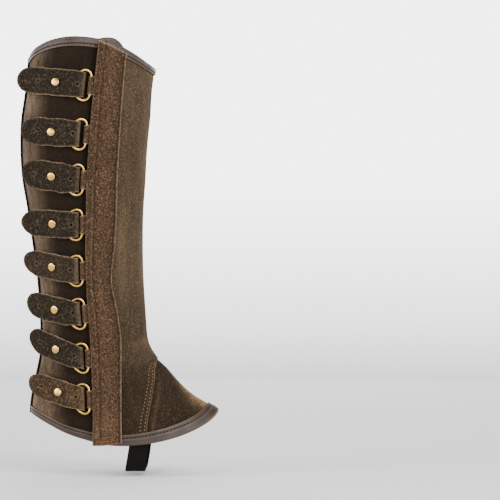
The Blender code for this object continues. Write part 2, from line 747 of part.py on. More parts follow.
def stud(number, place, look):
    """Brass stud with a low dome, seated on the strap."""
    distance, step = place.stud_distance, TANGENT_STEP
    z = place.centre_z(distance)
    lift = upper_lift(distance, RING_BAR + RING_DEPTH) + STRAP_THICKNESS + SEAM_GAP
    seat = place.point(distance, z, lift)
    behind = place.point(distance + step, z, lift) - place.point(distance - step, z, lift)
    above = place.point(distance, z + step, lift) - seat
    across, rise = behind.normalized(), above.normalized()
    out = rise.cross(across).normalized()
    if out.y > 0:
        out = -out
    work = bmesh.new()
    rings = []
    sides = 12
    for radius, dome in ((STUD_RADIUS * 0.92, 0.0), (STUD_RADIUS, 0.7), (STUD_RADIUS * 0.66, STUD_DOME * 0.8)):
        rings.append([work.verts.new(seat + out * dome + (across * math.cos(math.tau * side / sides)
                                                         + rise * math.sin(math.tau * side / sides)) * radius)
                      for side in range(sides)])
    tip = work.verts.new(seat + out * STUD_DOME)
    for first, second in zip(rings, rings[1:]):
        for side in range(sides):
            after = (side + 1) % sides
            work.faces.new([first[side], first[after], second[after], second[side]])
    for side in range(sides):
        work.faces.new([rings[-1][side], rings[-1][(side + 1) % sides], tip])
    work.faces.new(list(reversed(rings[0])))
    finish_piece(f"stud_{number}", work, look, 60.0)


def build():
    for thing in list(bpy.data.objects):
        bpy.data.objects.remove(thing, do_unlink=True)
    dark_suede = material("dark_suede", (0.035, 0.024, 0.016), 0.95)
    brown_suede = material("brown_suede", (0.105, 0.076, 0.05), 0.95)
    strip_suede = material("strip_suede", (0.14, 0.09, 0.055), 0.95)
    patch_suede = material("patch_suede", (0.05, 0.035, 0.023), 0.9)
    smooth_leather = material("smooth_leather", (0.08, 0.05, 0.034), 0.5)
    brass = material("brass", (0.78, 0.6, 0.3), 0.25, 1.0)
    elastic = material("black_elastic", (0.012, 0.01, 0.009), 0.8)
    rear_panel(dark_suede)
    main_panel(brown_suede)
    gusset_panel(brown_suede)
    closure_strip(strip_suede)
    grip_patch(patch_suede)
    bindings(smooth_leather)
    back_welt(smooth_leather)
    foot_elastic(elastic)
    for number, row in enumerate(STRAP_ROWS, 1):
        place = StrapPlace(*row)
        strap(number, place, dark_suede)
        d_ring(number, place, brass)
        ring_tab(number, place, strip_suede)
        stud(number, place, brass)


build()
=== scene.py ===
"""Suede half chap for the right leg, buckled and filled out as worn.

The sections follow the making of it, from the rear panel to the elastic under the foot.
Lengths in the tables are millimetres, angles are degrees, and meshes are in metres.
A place on the leg is a turn and a height: turn 0 is the back line, 90 the outer side and
180 the front, and a lift is the distance outwards from the face of the panels.
"""
import math

import bpy
import numpy as np
from mathutils import Matrix, Vector


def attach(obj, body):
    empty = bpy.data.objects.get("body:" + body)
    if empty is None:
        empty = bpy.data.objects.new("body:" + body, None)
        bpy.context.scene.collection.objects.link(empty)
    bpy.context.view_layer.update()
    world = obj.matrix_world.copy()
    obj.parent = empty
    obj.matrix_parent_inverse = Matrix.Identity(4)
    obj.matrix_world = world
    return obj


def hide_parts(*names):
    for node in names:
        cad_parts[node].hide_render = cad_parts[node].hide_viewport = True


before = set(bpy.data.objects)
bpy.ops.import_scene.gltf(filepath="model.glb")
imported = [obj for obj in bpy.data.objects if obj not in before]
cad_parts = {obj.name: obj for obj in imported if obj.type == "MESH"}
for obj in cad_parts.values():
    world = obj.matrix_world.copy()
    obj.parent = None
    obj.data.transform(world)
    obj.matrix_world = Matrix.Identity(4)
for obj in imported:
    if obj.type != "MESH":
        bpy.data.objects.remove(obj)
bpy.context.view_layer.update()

# Rear panel: dark brown suede cut in one piece, 2 mm thick, with the nap outwards.
# It wraps the outer calf from the back seam, carries the straps and runs under the
# flap. Towards the back line it is painted paler as a painted highlight, and the cut edges show raw fibre.
MM = 0.001
HEM, RIM = -279.0, 149.7
SUEDE = 2.0
# Height; then x and height of the back and of the front; half width, egg share and both powers.
leg_form = np.array((
    (-279, -59.2, -248, 139.7, -244.5, 46, 0.04, 2.3, 1.4),
    (-255, -57.6, -231, 114.9, -229, 45, 0.04, 2.2, 1.45),
    (-230, -54.4, -214, 98.8, -215, 43, 0.05, 2.2, 1.6),
    (-205, -50.8, -196, 84.9, -200, 41, 0.07, 2.1, 1.8),
    (-187, -48.8, -183, 73, -186, 40, 0.09, 2, 2),
    (-172, -48.4, -171, 65.8, -172, 40, 0.10, 2, 2),
    (-150, -48, -150, 63, -150, 41, 0.10, 2, 2),
    (-110, -51, -110, 60.2, -110, 43.5, 0.10, 2, 2),
    (-70, -55.3, -70, 59.6, -70, 47.5, 0.11, 2, 2),
    (-30, -61.9, -30, 60.3, -30, 52, 0.12, 2, 2),
    (10, -68.1, 10, 62.9, 10, 56, 0.13, 2, 2),
    (60, -69.3, 60, 66.2, 60, 57, 0.12, 2, 2),
    (110, -63.9, 101, 68.9, 94, 55.5, 0.10, 1.5, 2.2),
    (149.7, -60.8, 133, 71.8, 121, 54, 0.09, 1.3, 2.2),
))
# A fold runs from a turn and height to another, with a half width and a depth.
worn_folds = (
    (330, -152, 262, -184, 6, -3.2), (326, -164, 256, -196, 6.5, 2.6), (276, -182, 205, -158, 6, -2.4),
    (214, -170, 196, -168, 7, 2.0), (216, -134, 196, -128, 8, -1.8), (214, -116, 194, -110, 7, 1.4),
    (216, -101, 196, -98, 8, -1.6), (164, -169, 138, -176, 6, -1.6), (162, -158, 134, -160, 6, 1.2),
    (131, -40, 129, -130, 5, -1.3), (36, -196, 70, -204, 7, -1.6), (300, -216, 250, -226, 8, -1.8),
)
small_creases = (
    (12, -118, 44, -124, 3, -0.8), (10, -132, 50, -140, 3, -0.9), (14, -150, 40, -152, 3, -0.8),
    (340, -120, 300, -128, 3.5, -0.9), (346, -138, 296, -148, 3, -0.9), (322, -178, 286, -190, 3, -1.0),
    (268, -150, 226, -144, 3.5, -0.8), (250, -128, 214, -124, 3.5, -0.7), (240, -196, 212, -182, 3, -0.8),
    (172, -142, 150, -146, 3.5, -0.7), (168, -186, 142, -196, 3, -0.9), (150, -150, 124, -156, 3, -0.6),
    (118, -60, 120, -118, 3.5, -0.5), (142, -10, 138, -84, 4, -0.6), (160, 20, 156, -60, 4, -0.5),
    (300, 20, 296, -70, 5, -0.7), (330, 60, 334, -40, 5, -0.8), (152, -214, 128, -232, 3.5, -0.7),
)
# Height, and x of the strip's back and front edge.
strip_edges = np.array((
    (-279, 9, 39.4), (-242, 8.5, 38.6), (-200, 7.1, 38), (-165, 5.2, 37),
    (-132, 2.8, 32.2), (-107, 1.5, 27.6), (-70, 0.9, 30.6), (-30, 1.7, 32.8),
    (0, 2.5, 33.3), (70, 7.6, 37.8), (149.7, 15.2, 43.2),
))
WELT_RADIUS = 1.45
UNDERLAP_DEPTH, UNDERLAP_RUN, UNDERLAP_STAND = 5.4, 34.0, 6.4


def smooth_step(value):
    value = np.clip(value, 0.0, 1.0)
    return value * value * (3.0 - 2.0 * value)


def peak(distance, width):
    """1 where a distance is nothing, and less away from it."""
    return np.exp(-(distance / width) ** 2)


def along_table(rows, place, column):
    """Smooth curve through one column of a table, read at places along its first column."""
    keys, last = rows[:, 0], len(rows) - 1
    before, after = np.maximum(np.arange(last + 1) - 1, 0), np.minimum(np.arange(last + 1) + 1, last)
    slopes = (rows[after, column] - rows[before, column]) / (keys[after] - keys[before])
    index = np.clip(np.searchsorted(keys, place, side="right") - 1, 0, last - 1)
    span = keys[index + 1] - keys[index]
    share = (place - keys[index]) / span
    part = np.clip(share, 0.0, 1.0)
    square, cube = part ** 2, part ** 3
    value = ((2 * cube - 3 * square + 1) * rows[index, column] + (cube - 2 * square + part) * span * slopes[index]
             + (3 * square - 2 * cube) * rows[index + 1, column] + (cube - square) * span * slopes[index + 1])
    return value + (share - part) * span * np.where(share < 0, slopes[index], slopes[index + 1])


def leg_point(turn, height):
    """Point of the smooth leg form."""
    back_x, back_z, front_x, front_z, half_width, egg, back_power, front_power = (
        along_table(leg_form, height, column) for column in range(1, 9))
    back, side = np.cos(np.radians(turn)), np.sin(np.radians(turn))
    level = (back_z + front_z) / 2
    power = np.where(back > 0, back_power, front_power)
    return np.stack(((back_x + front_x) / 2 - (front_x - back_x) / 2 * back,
                     -half_width * side * (1 + egg * back),
                     level + (back_z - front_z) / 2 * back + (height - level) * np.abs(side) ** power), axis=-1)


def leg_normal(turn, height):
    around = leg_point(turn + 0.8, height) - leg_point(turn - 0.8, height)
    upward = leg_point(turn, height + 1.0) - leg_point(turn, height - 1.0)
    out = np.cross(around, upward)
    return out / np.linalg.norm(out, axis=-1, keepdims=True)


def degree_length(turn, height):
    """Length on the leg of one degree of turn."""
    return np.linalg.norm(leg_point(turn + 0.5, height) - leg_point(turn - 0.5, height), axis=-1)


def fold_lift(turn, height, folds):
    """How far the folds of the worn suede stand out or sink in."""
    lift = np.zeros(np.shape(turn + height))
    for from_turn, from_z, to_turn, to_z, half_width, depth in folds:
        run_turn, run_z = to_turn - from_turn, to_z - from_z
        share = ((turn - from_turn) * run_turn + (height - from_z) * run_z) / (run_turn ** 2 + run_z ** 2)
        across = np.hypot(turn - from_turn - run_turn * share, height - from_z - run_z * share)
        ends = smooth_step((share + 0.3) / 0.4) * smooth_step((1.3 - share) / 0.4)
        lift += depth * ends * peak(across, half_width)
    return lift


def slack(turn, height):
    """Slight unevenness of hand-cut suede on a leg."""
    bend = np.sin(np.radians(turn) * 3 + height * 0.021) * np.sin(height * 0.047 + 1.1)
    ripple = np.sin(np.radians(turn) * 11 - height * 0.06) * np.sin(height * 0.031 + np.radians(turn) * 5)
    return 0.45 * bend + 0.25 * ripple


def worn_point(turn, height, lift):
    """Point at a lift above the worn panels, with their folds, creases and slack."""
    turn, height = np.broadcast_arrays(np.asarray(turn, float), np.asarray(height, float))
    rise = lift + fold_lift(turn, height, worn_folds) + fold_lift(turn, height, small_creases) + slack(turn, height)
    return leg_point(turn, height) + leg_normal(turn, height) * rise[..., None]


def turn_behind(turn, height, distance):
    """Turn that lies a distance behind another, measured along the leg."""
    for _ in range(6):
        turn = turn - distance / 6 / degree_length(turn, height)
    return turn


def outer_turn(height, x):
    """Turn on the outer side at which the leg form has a given x."""
    back_x, front_x = along_table(leg_form, height, 1), along_table(leg_form, height, 3)
    return np.degrees(np.arccos(((back_x + front_x) / 2 - x) / ((front_x - back_x) / 2)))


def strip_side(height, column):
    """Turn of the closure strip's back (1) or front (2) edge."""
    return outer_turn(height, along_table(strip_edges, height, column))


def seam_turn(height):
    """Half turn taken by the welt in the back seam."""
    return (WELT_RADIUS + 0.1) / degree_length(0.0, height)


def dive(turn, height):
    """Lift of the rear panel, which goes down under the flap's edge."""
    end = turn_behind(strip_side(height, 1), height, 1.0)
    start = turn_behind(end, height, UNDERLAP_RUN)
    return -UNDERLAP_DEPTH * smooth_step((turn - start) / (end - start))


def underlap_point(turn, height, lift):
    """Point of the rear panel, whose underlap stands above the sloping rim of the flap."""
    point = worn_point(turn, height, lift)
    turn, height = np.broadcast_arrays(np.asarray(turn, float), np.asarray(height, float))
    beyond = (turn - strip_side(height, 1)) * degree_length(turn, height)
    raised = np.sin(np.clip(beyond / 24.0, 0.0, 1.0) * math.pi / 2)
    raised = raised * (1 - np.clip((beyond - 16.0) / 18.0, 0.0, 1.0) ** 3)
    point[..., 2] += UNDERLAP_STAND * raised * smooth_step((height - RIM + 45.0) / 45.0)
    return point


def srgb(red, green, blue):
    """Linear colour of a screen colour."""
    return tuple(((part / 255 + 0.055) / 1.055) ** 2.4 for part in (red, green, blue)) + (1.0,)


# Colour of raw cut fibre, and the tone towards which painted shade darkens a colour.
raw_fibre, deep_tone = srgb(132, 112, 90), (0.30, 0.26, 0.22, 1.0)


class Finish:
    """A material, with short ways to add nodes; an input is a value or a node's output."""

    def __init__(self, name, source="TexCoord", output="Object"):
        self.material = bpy.data.materials.new(name)
        self.material.use_nodes = True
        self.tree = self.material.node_tree
        self.place = self.node(source, output)

    def feed(self, target, inputs):
        for name, value in dict(inputs).items():
            if isinstance(value, bpy.types.NodeSocket):
                self.tree.links.new(value, target.inputs[name])
            else:
                target.inputs[name].default_value = value

    def node(self, kind, output, inputs=(), **settings):
        made = self.tree.nodes.new("ShaderNode" + kind)
        for name, value in settings.items():
            setattr(made, name, value)
        self.feed(made, inputs)
        return made.outputs[output]

    def noise(self, scale, detail=2.0, **more):
        return self.node("TexNoise", "Fac", {"Scale": scale, "Detail": detail, "Vector": self.place, **more})

    def over(self, share, below, above, blend="MIX"):
        return self.node("Mix", 2, {"Factor": share, 6: below, 7: above}, data_type="RGBA", blend_type=blend)

    def bump(self, height, strength, distance, **more):
        return self.node("Bump", "Normal", {"Height": height, "Strength": strength, "Distance": distance, **more})

    def surface(self, roughness, specular, colour, normal, more=()):
        """Feed the shader and hand over the material."""
        shader = self.tree.nodes["Principled BSDF"]
        self.feed(shader, {"Roughness": roughness, "Specular IOR Level": specular})
        self.feed(shader, {"Base Color": colour, "Normal": normal})
        self.feed(shader, more)
        return self.material


def suede(name, ground, shade, fleck, rubbed, fleck_share=0.5, nap=0.04):
    """Napped suede: clouds of shade, fine flecks of fibre, rubbed places and painted highlights, painted shade low
    down and in stitch rows, and pale raw edges.
    """
    finish = Finish(name)
    ground, shade, fleck, rubbed = (srgb(*colour) for colour in (ground, shade, fleck, rubbed))

    def cloud(scale, detail, stretch=1.0, offset=0.0):
        place = finish.node("Mapping", "Vector", {
            "Scale": (1.0, 1.0, stretch), "Location": (offset, offset * 0.7, offset * 1.3), "Vector": finish.place})
        return finish.noise(scale, detail, Roughness=0.66, Vector=place)

    def reach(value, low, high, most=1.0):
        return finish.node("MapRange", "Result", {"From Min": low, "From Max": high, "To Max": most, "Value": value})

    def stored(attribute):
        return finish.node("Attribute", "Fac", attribute_name=attribute)

    def marked(attribute, value):
        """A stored value, broken up by a cloud."""
        return finish.node("Math", "Value", {0: stored(attribute), 1: value}, operation="MULTIPLY")

    fibre = cloud(560.0, 5.0, 0.85)
    colour = finish.over(reach(cloud(17.0, 3.0), 0.40, 0.66, 0.5), ground, shade)
    colour = finish.over(reach(cloud(150.0, 3.0, 0.2, 3.0), 0.40, 0.62, 0.65), colour, shade)
    # Paler towards the rub tone where the stored value says: rubbed wear on some pieces, painted highlights on
    # others.
    colour = finish.over(marked("rub", reach(cloud(95.0, 4.0, 0.5, 7.0), 0.2, 0.62)), colour, rubbed)
    colour = finish.over(reach(fibre, 0.52, 0.62, fleck_share), colour, fleck)
    dark_fleck = tuple(0.3 * part for part in shade[:3]) + (1.0,)
    colour = finish.over(reach(cloud(680.0, 4.0, 0.9, 5.0), 0.49, 0.60, fleck_share), colour, dark_fleck)
    colour = finish.over(marked("fray", reach(cloud(330.0, 4.0, 0.6, 9.0), 0.3, 0.55)), colour, raw_fibre)
    # Painted shade: darker low on the front, round the inner side, and in sunk stitch rows and pressed lines.
    for value in ("deep", "groove"):
        colour = finish.over(stored(value), colour, deep_tone, "MULTIPLY")
    fine = finish.bump(cloud(2100.0, 3.0, 0.6), 0.5, 0.0003, Normal=finish.bump(fibre, 0.75, 0.0006))
    sheen = {"Sheen Weight": nap, "Sheen Roughness": 0.45, "Sheen Tint": rubbed}
    return finish.surface(0.93, 0.12, colour, fine, sheen)


def select(*pieces):
    """Select these pieces and no other; the last one is active."""
    bpy.ops.object.select_all(action="DESELECT")
    for piece in pieces:
        piece.select_set(True)
        bpy.context.view_layer.objects.active = piece


def moved_grid(name, columns, rows, place):
    """A flat grid whose points are moved to place(u, v), given in millimetres."""
    select()
    bpy.ops.mesh.primitive_grid_add(x_subdivisions=columns, y_subdivisions=rows, size=2.0)
    piece = bpy.context.object
    piece.name = piece.data.name = name
    points = np.empty(len(piece.data.vertices) * 3)
    piece.data.vertices.foreach_get("co", points)
    flat = points.reshape(-1, 3) / 2 + 0.5
    piece.data.vertices.foreach_set("co", (place(flat[:, 0], flat[:, 1]) * MM).ravel())
    return piece, flat[:, 0], flat[:, 1]


def laid_on_leg(name, columns, rows, place, rise, shape=worn_point):
    """A sheet on the leg: its turn and height come from place(u, v) and its lift from rise."""
    piece, u, v = moved_grid(name, columns, rows, lambda u, v: shape(*place(u, v), rise(*place(u, v))))
    return piece, *place(u, v), u, v


def surface_values(piece, **values):
    """Store values that the finish reads, one for each point."""
    for name, value in values.items():
        layer = piece.data.attributes.new(name, "FLOAT", "POINT")
        layer.data.foreach_set("value", np.broadcast_to(value, len(piece.data.vertices)).astype(np.float32))


def thicken(piece, thickness, finishes, edge_round=0.25, angle=50.0):
    """Give a sheet its thickness inwards, its three finishes and softly rounded cut edges."""
    for finish in finishes:
        piece.data.materials.append(finish)
    select(piece)
    wall = piece.modifiers.new("thickness", "SOLIDIFY")
    wall.thickness, wall.offset = thickness * MM, -1.0
    if len(finishes) > 2:
        wall.material_offset, wall.material_offset_rim = 1, 2
    bpy.ops.object.modifier_apply(modifier=wall.name)
    if edge_round:
        bevel = piece.modifiers.new("edges", "BEVEL")
        bevel.width, bevel.segments, bevel.limit_method = edge_round * MM, 2, "ANGLE"
        bevel.angle_limit = math.radians(angle)
        bpy.ops.object.modifier_apply(modifier=bevel.name)
    bpy.ops.object.shade_smooth_by_angle(angle=math.radians(40))


def keep(piece, slot, *nodes):
    """The piece rides on the only body and stands for its nodes, which are hidden; the slot is not used."""
    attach(piece, "root")
    if nodes:
        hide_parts(*nodes)


dark_suede = suede("dark_suede", (30, 21, 13), (22, 15, 9), (46, 35, 25), (108, 89, 70), 0.4, 0.02)
flesh_suede = suede("flesh_suede", (50, 40, 31), (36, 28, 21), (70, 58, 46), (76, 62, 50), 0.5, 0.05)
raw_edge = suede("raw_edge", (98, 82, 64), (72, 59, 45), (126, 108, 88), (110, 94, 76), 0.6, 0.05)


def rear_place(u, v):
    height = HEM + (RIM - HEM) * v
    start, end = seam_turn(height), turn_behind(strip_side(height, 1), height, -20.0 - 14.0 * v)
    return start + (end - start) * u, height


rear_panel, turn, height = laid_on_leg("rear_suede_panel", 66, 190, rear_place, dive, underlap_point)[:3]
# Painted highlight: paler towards the back line, where light from the left and behind falls.
surface_values(rear_panel, rub=smooth_step((60.0 - turn) / 34.0) * (0.8 + 0.2 * np.sin(height * 0.09)))
thicken(rear_panel, SUEDE, (dark_suede, flesh_suede, raw_edge))
keep(rear_panel, "dark_suede", "rear_panel")

# Main panel: one cut of brown suede from the flap's edge over the shin and round the inner
# calf to the back seam. Its two legs end at the instep, where they lap over the gusset and
# are sewn with two rows of tan thread.
GUSSET_TOP = -187.0
FLAP_SETBACK = 9.0
SEAM_INSETS = 2.7, 7.4
gusset_seams = (
    ((73.1, -197.4), (72.8, -212.1), (70.6, -228.9), (67.6, -245.4), (65.3, -265.7), (65, -277.5)),
    ((71.1, -198.8), (69.6, -212.5), (64.3, -230), (56.4, -253.4), (53, -271), (52.4, -277.5)),
)


def seam_table(points):
    """Heights and turns of a gusset seam, from the hem to its top point."""
    rows = [(GUSSET_TOP, 180.0)]
    for x, z in points:
        height = z
        for _ in range(12):
            turn = float(outer_turn(height, x))
            height += z - float(leg_point(turn, height)[2])
        rows.append((height, turn))
    return np.array(sorted(rows))


seam_tables = [seam_table(points) for points in gusset_seams]


def gusset_turn(height, inner):
    """Turn of the outer or inner seam of the gusset, which closes above its top point."""
    turn = np.minimum(along_table(seam_tables[inner], np.minimum(height, GUSSET_TOP), 1), 180.0)
    return 360.0 - turn if inner else turn


def seam_distance(turn, height):
    """Distance from the nearer seam of the gusset, in millimetres."""
    outer, inner = np.abs(turn - gusset_turn(height, False)), np.abs(turn - gusset_turn(height, True))
    return np.minimum(outer, inner) * degree_length(turn, height)


def seam_rows(turn, height):
    """How near a point of the panel is to the two rows of stitches, from 0 to 1."""
    away = seam_distance(turn, height)
    near = sum(peak(away - inset, 0.9) for inset in SEAM_INSETS)
    return near * smooth_step((GUSSET_TOP - height) / 10.0)


def seam_lap(turn, height):
    """Lift of the panel where it lies over the gusset, sunk at its stitches."""
    low = smooth_step((GUSSET_TOP - height) / 12.0)
    lap = low * 1.3 * (1 - smooth_step((seam_distance(turn, height) - 9.0) / 9.0))
    return lap - 0.3 * seam_rows(turn, height)


def panel_height(v):
    """Heights in rows, with a row at the gusset's top point."""
    return np.interp(v, (0.0, 46 / 214, 1.0), (HEM, GUSSET_TOP, RIM))


def flap_place(u, v):
    height = panel_height(v)
    start = turn_behind(strip_side(height, 1), height, -FLAP_SETBACK)
    return start + (gusset_turn(height, False) - start) * (1 - (1 - u) ** 1.6), height


def inner_place(u, v):
    height = panel_height(v)
    start, end = gusset_turn(height, True), 360.0 - seam_turn(height)
    return start + (end - start) * u ** 1.3, height


brown_suede = suede("brown_suede", (68, 55, 40), (47, 38, 27), (102, 84, 65), (104, 84, 62))
front_half, turn, height = laid_on_leg("front_half", 64, 214, flap_place, seam_lap)[:3]
away, low = seam_distance(turn, height), smooth_step((GUSSET_TOP - height) / 10.0)
shin = peak(turn - 168.0, 9.0) * (0.35 + 0.2 * np.sin(height * 0.05))
sunk = 0.25 * np.clip(-fold_lift(turn, height, worn_folds), 0, 2)
# Painted shade: darker towards the bottom, and in the sunk stitch rows of the seam.
surface_values(front_half, rub=0.3 * low * peak(away - 5.0, 3.5) + np.clip(shin + sunk, 0, 1),
               fray=low * peak(away, 1.0), groove=0.5 * seam_rows(turn, height),
               deep=0.25 * smooth_step((-90.0 - height) / 60.0) + 0.55 * smooth_step((-180.0 - height) / 40.0))
main_panel, turn, height = laid_on_leg("main_suede_panel", 110, 214, inner_place, seam_lap)[:3]
away, low = seam_distance(turn, height), smooth_step((GUSSET_TOP - height) / 10.0)
shin = peak(turn - 190.0, 10.0) * 0.35 + peak(height + 190.0, 30.0) * 0.35
ridge = np.clip(fold_lift(turn, height, worn_folds), 0, 3) * 0.25
# Painted shade: darker round the inner side past the front, and in the sunk stitch rows of the seam.
surface_values(main_panel, rub=np.clip(shin + ridge, 0, 1), fray=low * peak(away, 1.0),
               groove=0.5 * seam_rows(turn, height), deep=0.6 * smooth_step((turn - 184.0) / 24.0))
select(front_half, main_panel)
bpy.ops.object.join()
bpy.ops.object.mode_set(mode="EDIT")
bpy.ops.mesh.select_all(action="SELECT")
bpy.ops.mesh.remove_doubles(threshold=0.00002)
bpy.ops.object.mode_set(mode="OBJECT")
thicken(main_panel, SUEDE, (brown_suede, flesh_suede, raw_edge))
keep(main_panel, "brown_suede", "main_panel")

# Instep gusset: a wedge of the same suede let in over the instep, under both edges of the
# panel and down to the point of the tongue. It is coloured darker as painted shade, and its ridge and point carry
# painted highlights.
# The panel's suede made darker as painted shade where the gusset faces down, with a bright tone for painted
# highlights.
shaded_gusset_suede = suede("shaded_gusset_suede", (41, 31, 20), (28, 21, 13), (70, 56, 40), (172, 134, 98), 0.6)


def gusset_place(u, v):
    height = HEM + (GUSSET_TOP - 2.0 - HEM) * v
    start = turn_behind(gusset_turn(height, False), height, 8.0)
    end = turn_behind(gusset_turn(height, True), height, -8.0)
    return start + (end - start) * u, height


def gusset_dip(turn, height):
    """Lift of the gusset, lower where it lies under the panel's edges."""
    inside = np.minimum(turn - gusset_turn(height, False), gusset_turn(height, True) - turn)
    inside = inside * degree_length(turn, height)
    ridge = 0.9 * peak(inside - 7.0, 2.6) * smooth_step((GUSSET_TOP - 20.0 - height) / 15.0)
    return ridge - 1.4 + 1.4 * smooth_step(inside / 14.0) * smooth_step((GUSSET_TOP - height) / 20.0)


gusset, turn, height = laid_on_leg("instep_suede_gusset", 84, 56, gusset_place, gusset_dip)[:3]
# Painted highlights: paler towards the point and along the raised ridge beside each seam.
low = smooth_step((-205.0 - height) / 55.0)
tip_highlight = peak(turn - 180.0, 5.0 + 9.0 * low) * (0.35 + 0.65 * low)
ridge = 0.1 * peak(seam_distance(turn, height) - 7.0, 2.2) * smooth_step((-215.0 - height) / 10.0)
surface_values(gusset, rub=np.clip(tip_highlight + ridge, 0, 1))
thicken(gusset, SUEDE, (shaded_gusset_suede, flesh_suede, raw_edge))
keep(gusset, "brown_suede", "instep_gusset")

# Seam stitches of the gusset: two rows of tan thread along each edge of the panel.
# One stitch is modelled and its copies follow the seam, each slightly sunk in the nap.
select()
bpy.ops.mesh.primitive_uv_sphere_add(segments=6, ring_count=4, radius=1.0, rotation=(0.0, math.pi / 2, 0.0))
bpy.ops.object.transform_apply(location=False, rotation=True, scale=False)
one_stitch = bpy.context.object
stitch_points = np.array([corner.co[:] for corner in one_stitch.data.vertices])
stitch_faces = [list(face.vertices) for face in one_stitch.data.polygons]
bpy.data.objects.remove(one_stitch)


def thread(name, colour, dark):
    """Waxed thread: twisted, slightly glossy, with the twist as bump."""
    finish = Finish(name)
    twist = finish.node("TexWave", "Fac", {"Scale": 700.0, "Vector": finish.place}, bands_direction="DIAGONAL")
    return finish.surface(0.85, 0.15, finish.over(finish.noise(260.0), srgb(*colour), srgb(*dark)),
                          finish.bump(twist, 0.5, 0.0002))


def read_line(places, steps, points):
    """Points at places along a line whose own points lie at the given steps."""
    return np.stack([np.interp(places, steps, points[:, axis]) for axis in range(points.shape[1])], axis=-1)


def line_steps(points):
    return np.r_[0.0, np.cumsum(np.linalg.norm(np.diff(points, axis=0), axis=1))]


def resampled(points, count):
    """Points at even steps along a line."""
    steps = line_steps(points)
    return read_line(np.linspace(0, steps[-1], count), steps, points)


def sew(name, rows, finish, slot, pitch=3.3, length=2.5, radius=0.36):
    """Copies of one stitch along rows; a row is its points and their outward directions."""
    corners, faces = [], []
    for points, outs in rows:
        steps = line_steps(points)
        count = max(int(steps[-1] / pitch), 1)
        for number in range(count):
            middle = (number + 0.5) * steps[-1] / count
            before, centre, after = read_line(middle + length * np.array((-0.5, 0.0, 0.5)), steps, points)
            along = (after - before) / np.linalg.norm(after - before)
            out = read_line(middle, steps, outs)
            out -= along * (out @ along)
            out /= np.linalg.norm(out)
            side = np.cross(out, along)
            shape = stitch_points * (length / 2, radius, radius)
            start = sum(len(block) for block in corners)
            corners.append(centre + shape[:, :1] * along + shape[:, 1:2] * side + shape[:, 2:] * out)
            faces += [[start + corner for corner in face] for face in stitch_faces]
    mesh = bpy.data.meshes.new(name)
    mesh.from_pydata((np.vstack(corners) * MM).tolist(), [], faces)
    mesh.materials.append(finish)
    mesh.shade_smooth()
    stitches = bpy.data.objects.new(name, mesh)
    bpy.context.scene.collection.objects.link(stitches)
    keep(stitches, slot)


def sewn_row(turn, height, rise, lift=0.15, shape=worn_point):
    """Points and outward directions of a row of stitches on a piece that rises from the panels."""
    return shape(turn, height, rise(turn, height) + lift), leg_normal(turn, height)


tan_thread = thread("tan_thread", (122, 102, 78), (92, 75, 56))
brown_thread = thread("brown_thread", (50, 36, 25), (32, 23, 16))
rust_thread = thread("rust_thread", (138, 92, 62), (104, 68, 46))
dark_thread = thread("dark_thread", (10, 8, 6), (6, 5, 4))
heights = np.linspace(HEM + 11.0, GUSSET_TOP - 8.0, 60)
rows = []
for inner in (False, True):
    for inset in SEAM_INSETS:
        turns = turn_behind(gusset_turn(heights, inner), heights, -inset if inner else inset)
        rows.append(sewn_row(turns, heights, seam_lap))
sew("gusset_seam_stitches", rows, tan_thread, "brown_suede", pitch=3.8, length=2.5, radius=0.5)

# Closure strip: lighter, coarser suede laid over the flap's edge from rim to hem, with raw
# long edges and ends. It is sewn along both edges and twice across its lower end, laps over
# the bindings of rim and hem, and holds the ring tabs under its back edge.
LAYER = 0.4
strip_suede = suede("strip_suede", (58, 43, 30), (44, 32, 22), (104, 82, 62), (94, 70, 48), 0.8)
strip_edge = suede("strip_edge", (112, 92, 70), (84, 68, 51), (140, 118, 94), (124, 104, 82), 0.6, 0.05)
BACK_ROW, FRONT_ROW, END_ROWS = 8.6, 2.8, (4.2, 8.8)
STRIP_WIDTH, STRIP_LENGTH = 34.0, 430.0


def strip_bottom(u):
    """Height of the strip's lower end, from its back edge to its front edge."""
    return HEM - 4.6 + 6.5 * u


def strip_place(u, v):
    height = strip_bottom(u) + (RIM - 1.2 - 4.4 * u - strip_bottom(u)) * v
    back, front = strip_side(height, 1), strip_side(height, 2)
    return back + (front - back) * u, height


def strip_rise(turn, height):
    """Height of the strip's face: sunk at its stitch rows, and lifted over both bindings."""
    back, front = strip_side(height, 1), strip_side(height, 2)
    width = np.linalg.norm(leg_point(back, height) - leg_point(front, height), axis=-1)
    across = (turn - back) / (front - back) * width
    row = peak(across - BACK_ROW, 1.0) + peak(width - across - FRONT_ROW, 1.0)
    puff = 0.45 * peak(across - BACK_ROW + 3.6, 2.6)
    ends = smooth_step((HEM + 16.0 - height) / 6.0) + smooth_step((height - RIM + 13.0) / 5.0)
    return LAYER + SUEDE - 0.45 * row + puff + 1.8 * ends


strip, turn, height, u, v = laid_on_leg("closure_suede_strip", 36, 230, strip_place, strip_rise)
# Painted highlights: paler at the lower end, down the middle and on the ridge beside the back stitch row; painted
# shade in the stitch rows.
strip_highlight = 0.4 * smooth_step((-225.0 - height) / 40.0) + 0.3 * peak(u - 0.5, 0.25)
across, from_front, from_end = u * STRIP_WIDTH, (1 - u) * STRIP_WIDTH, height - strip_bottom(u)
end_rows = sum(peak(from_end - inset, 0.9) for inset in END_ROWS)
surface_values(strip, rub=np.clip(strip_highlight + 0.5 * peak(across - BACK_ROW + 1.8, 0.8), 0, 1),
               fray=0.75 * peak(from_front, 0.9) + 0.15 * peak(across, 0.9)
               + peak((1 - v) * STRIP_LENGTH, 1.4) + 0.4 * peak(from_end, 1.2),
               groove=0.35 * peak(across - BACK_ROW, 0.9) + 0.35 * end_rows + 0.7 * peak(from_front - FRONT_ROW, 0.8))
thicken(strip, SUEDE, (strip_suede, flesh_suede, strip_edge))
keep(strip, "strip_suede", "closure_strip")
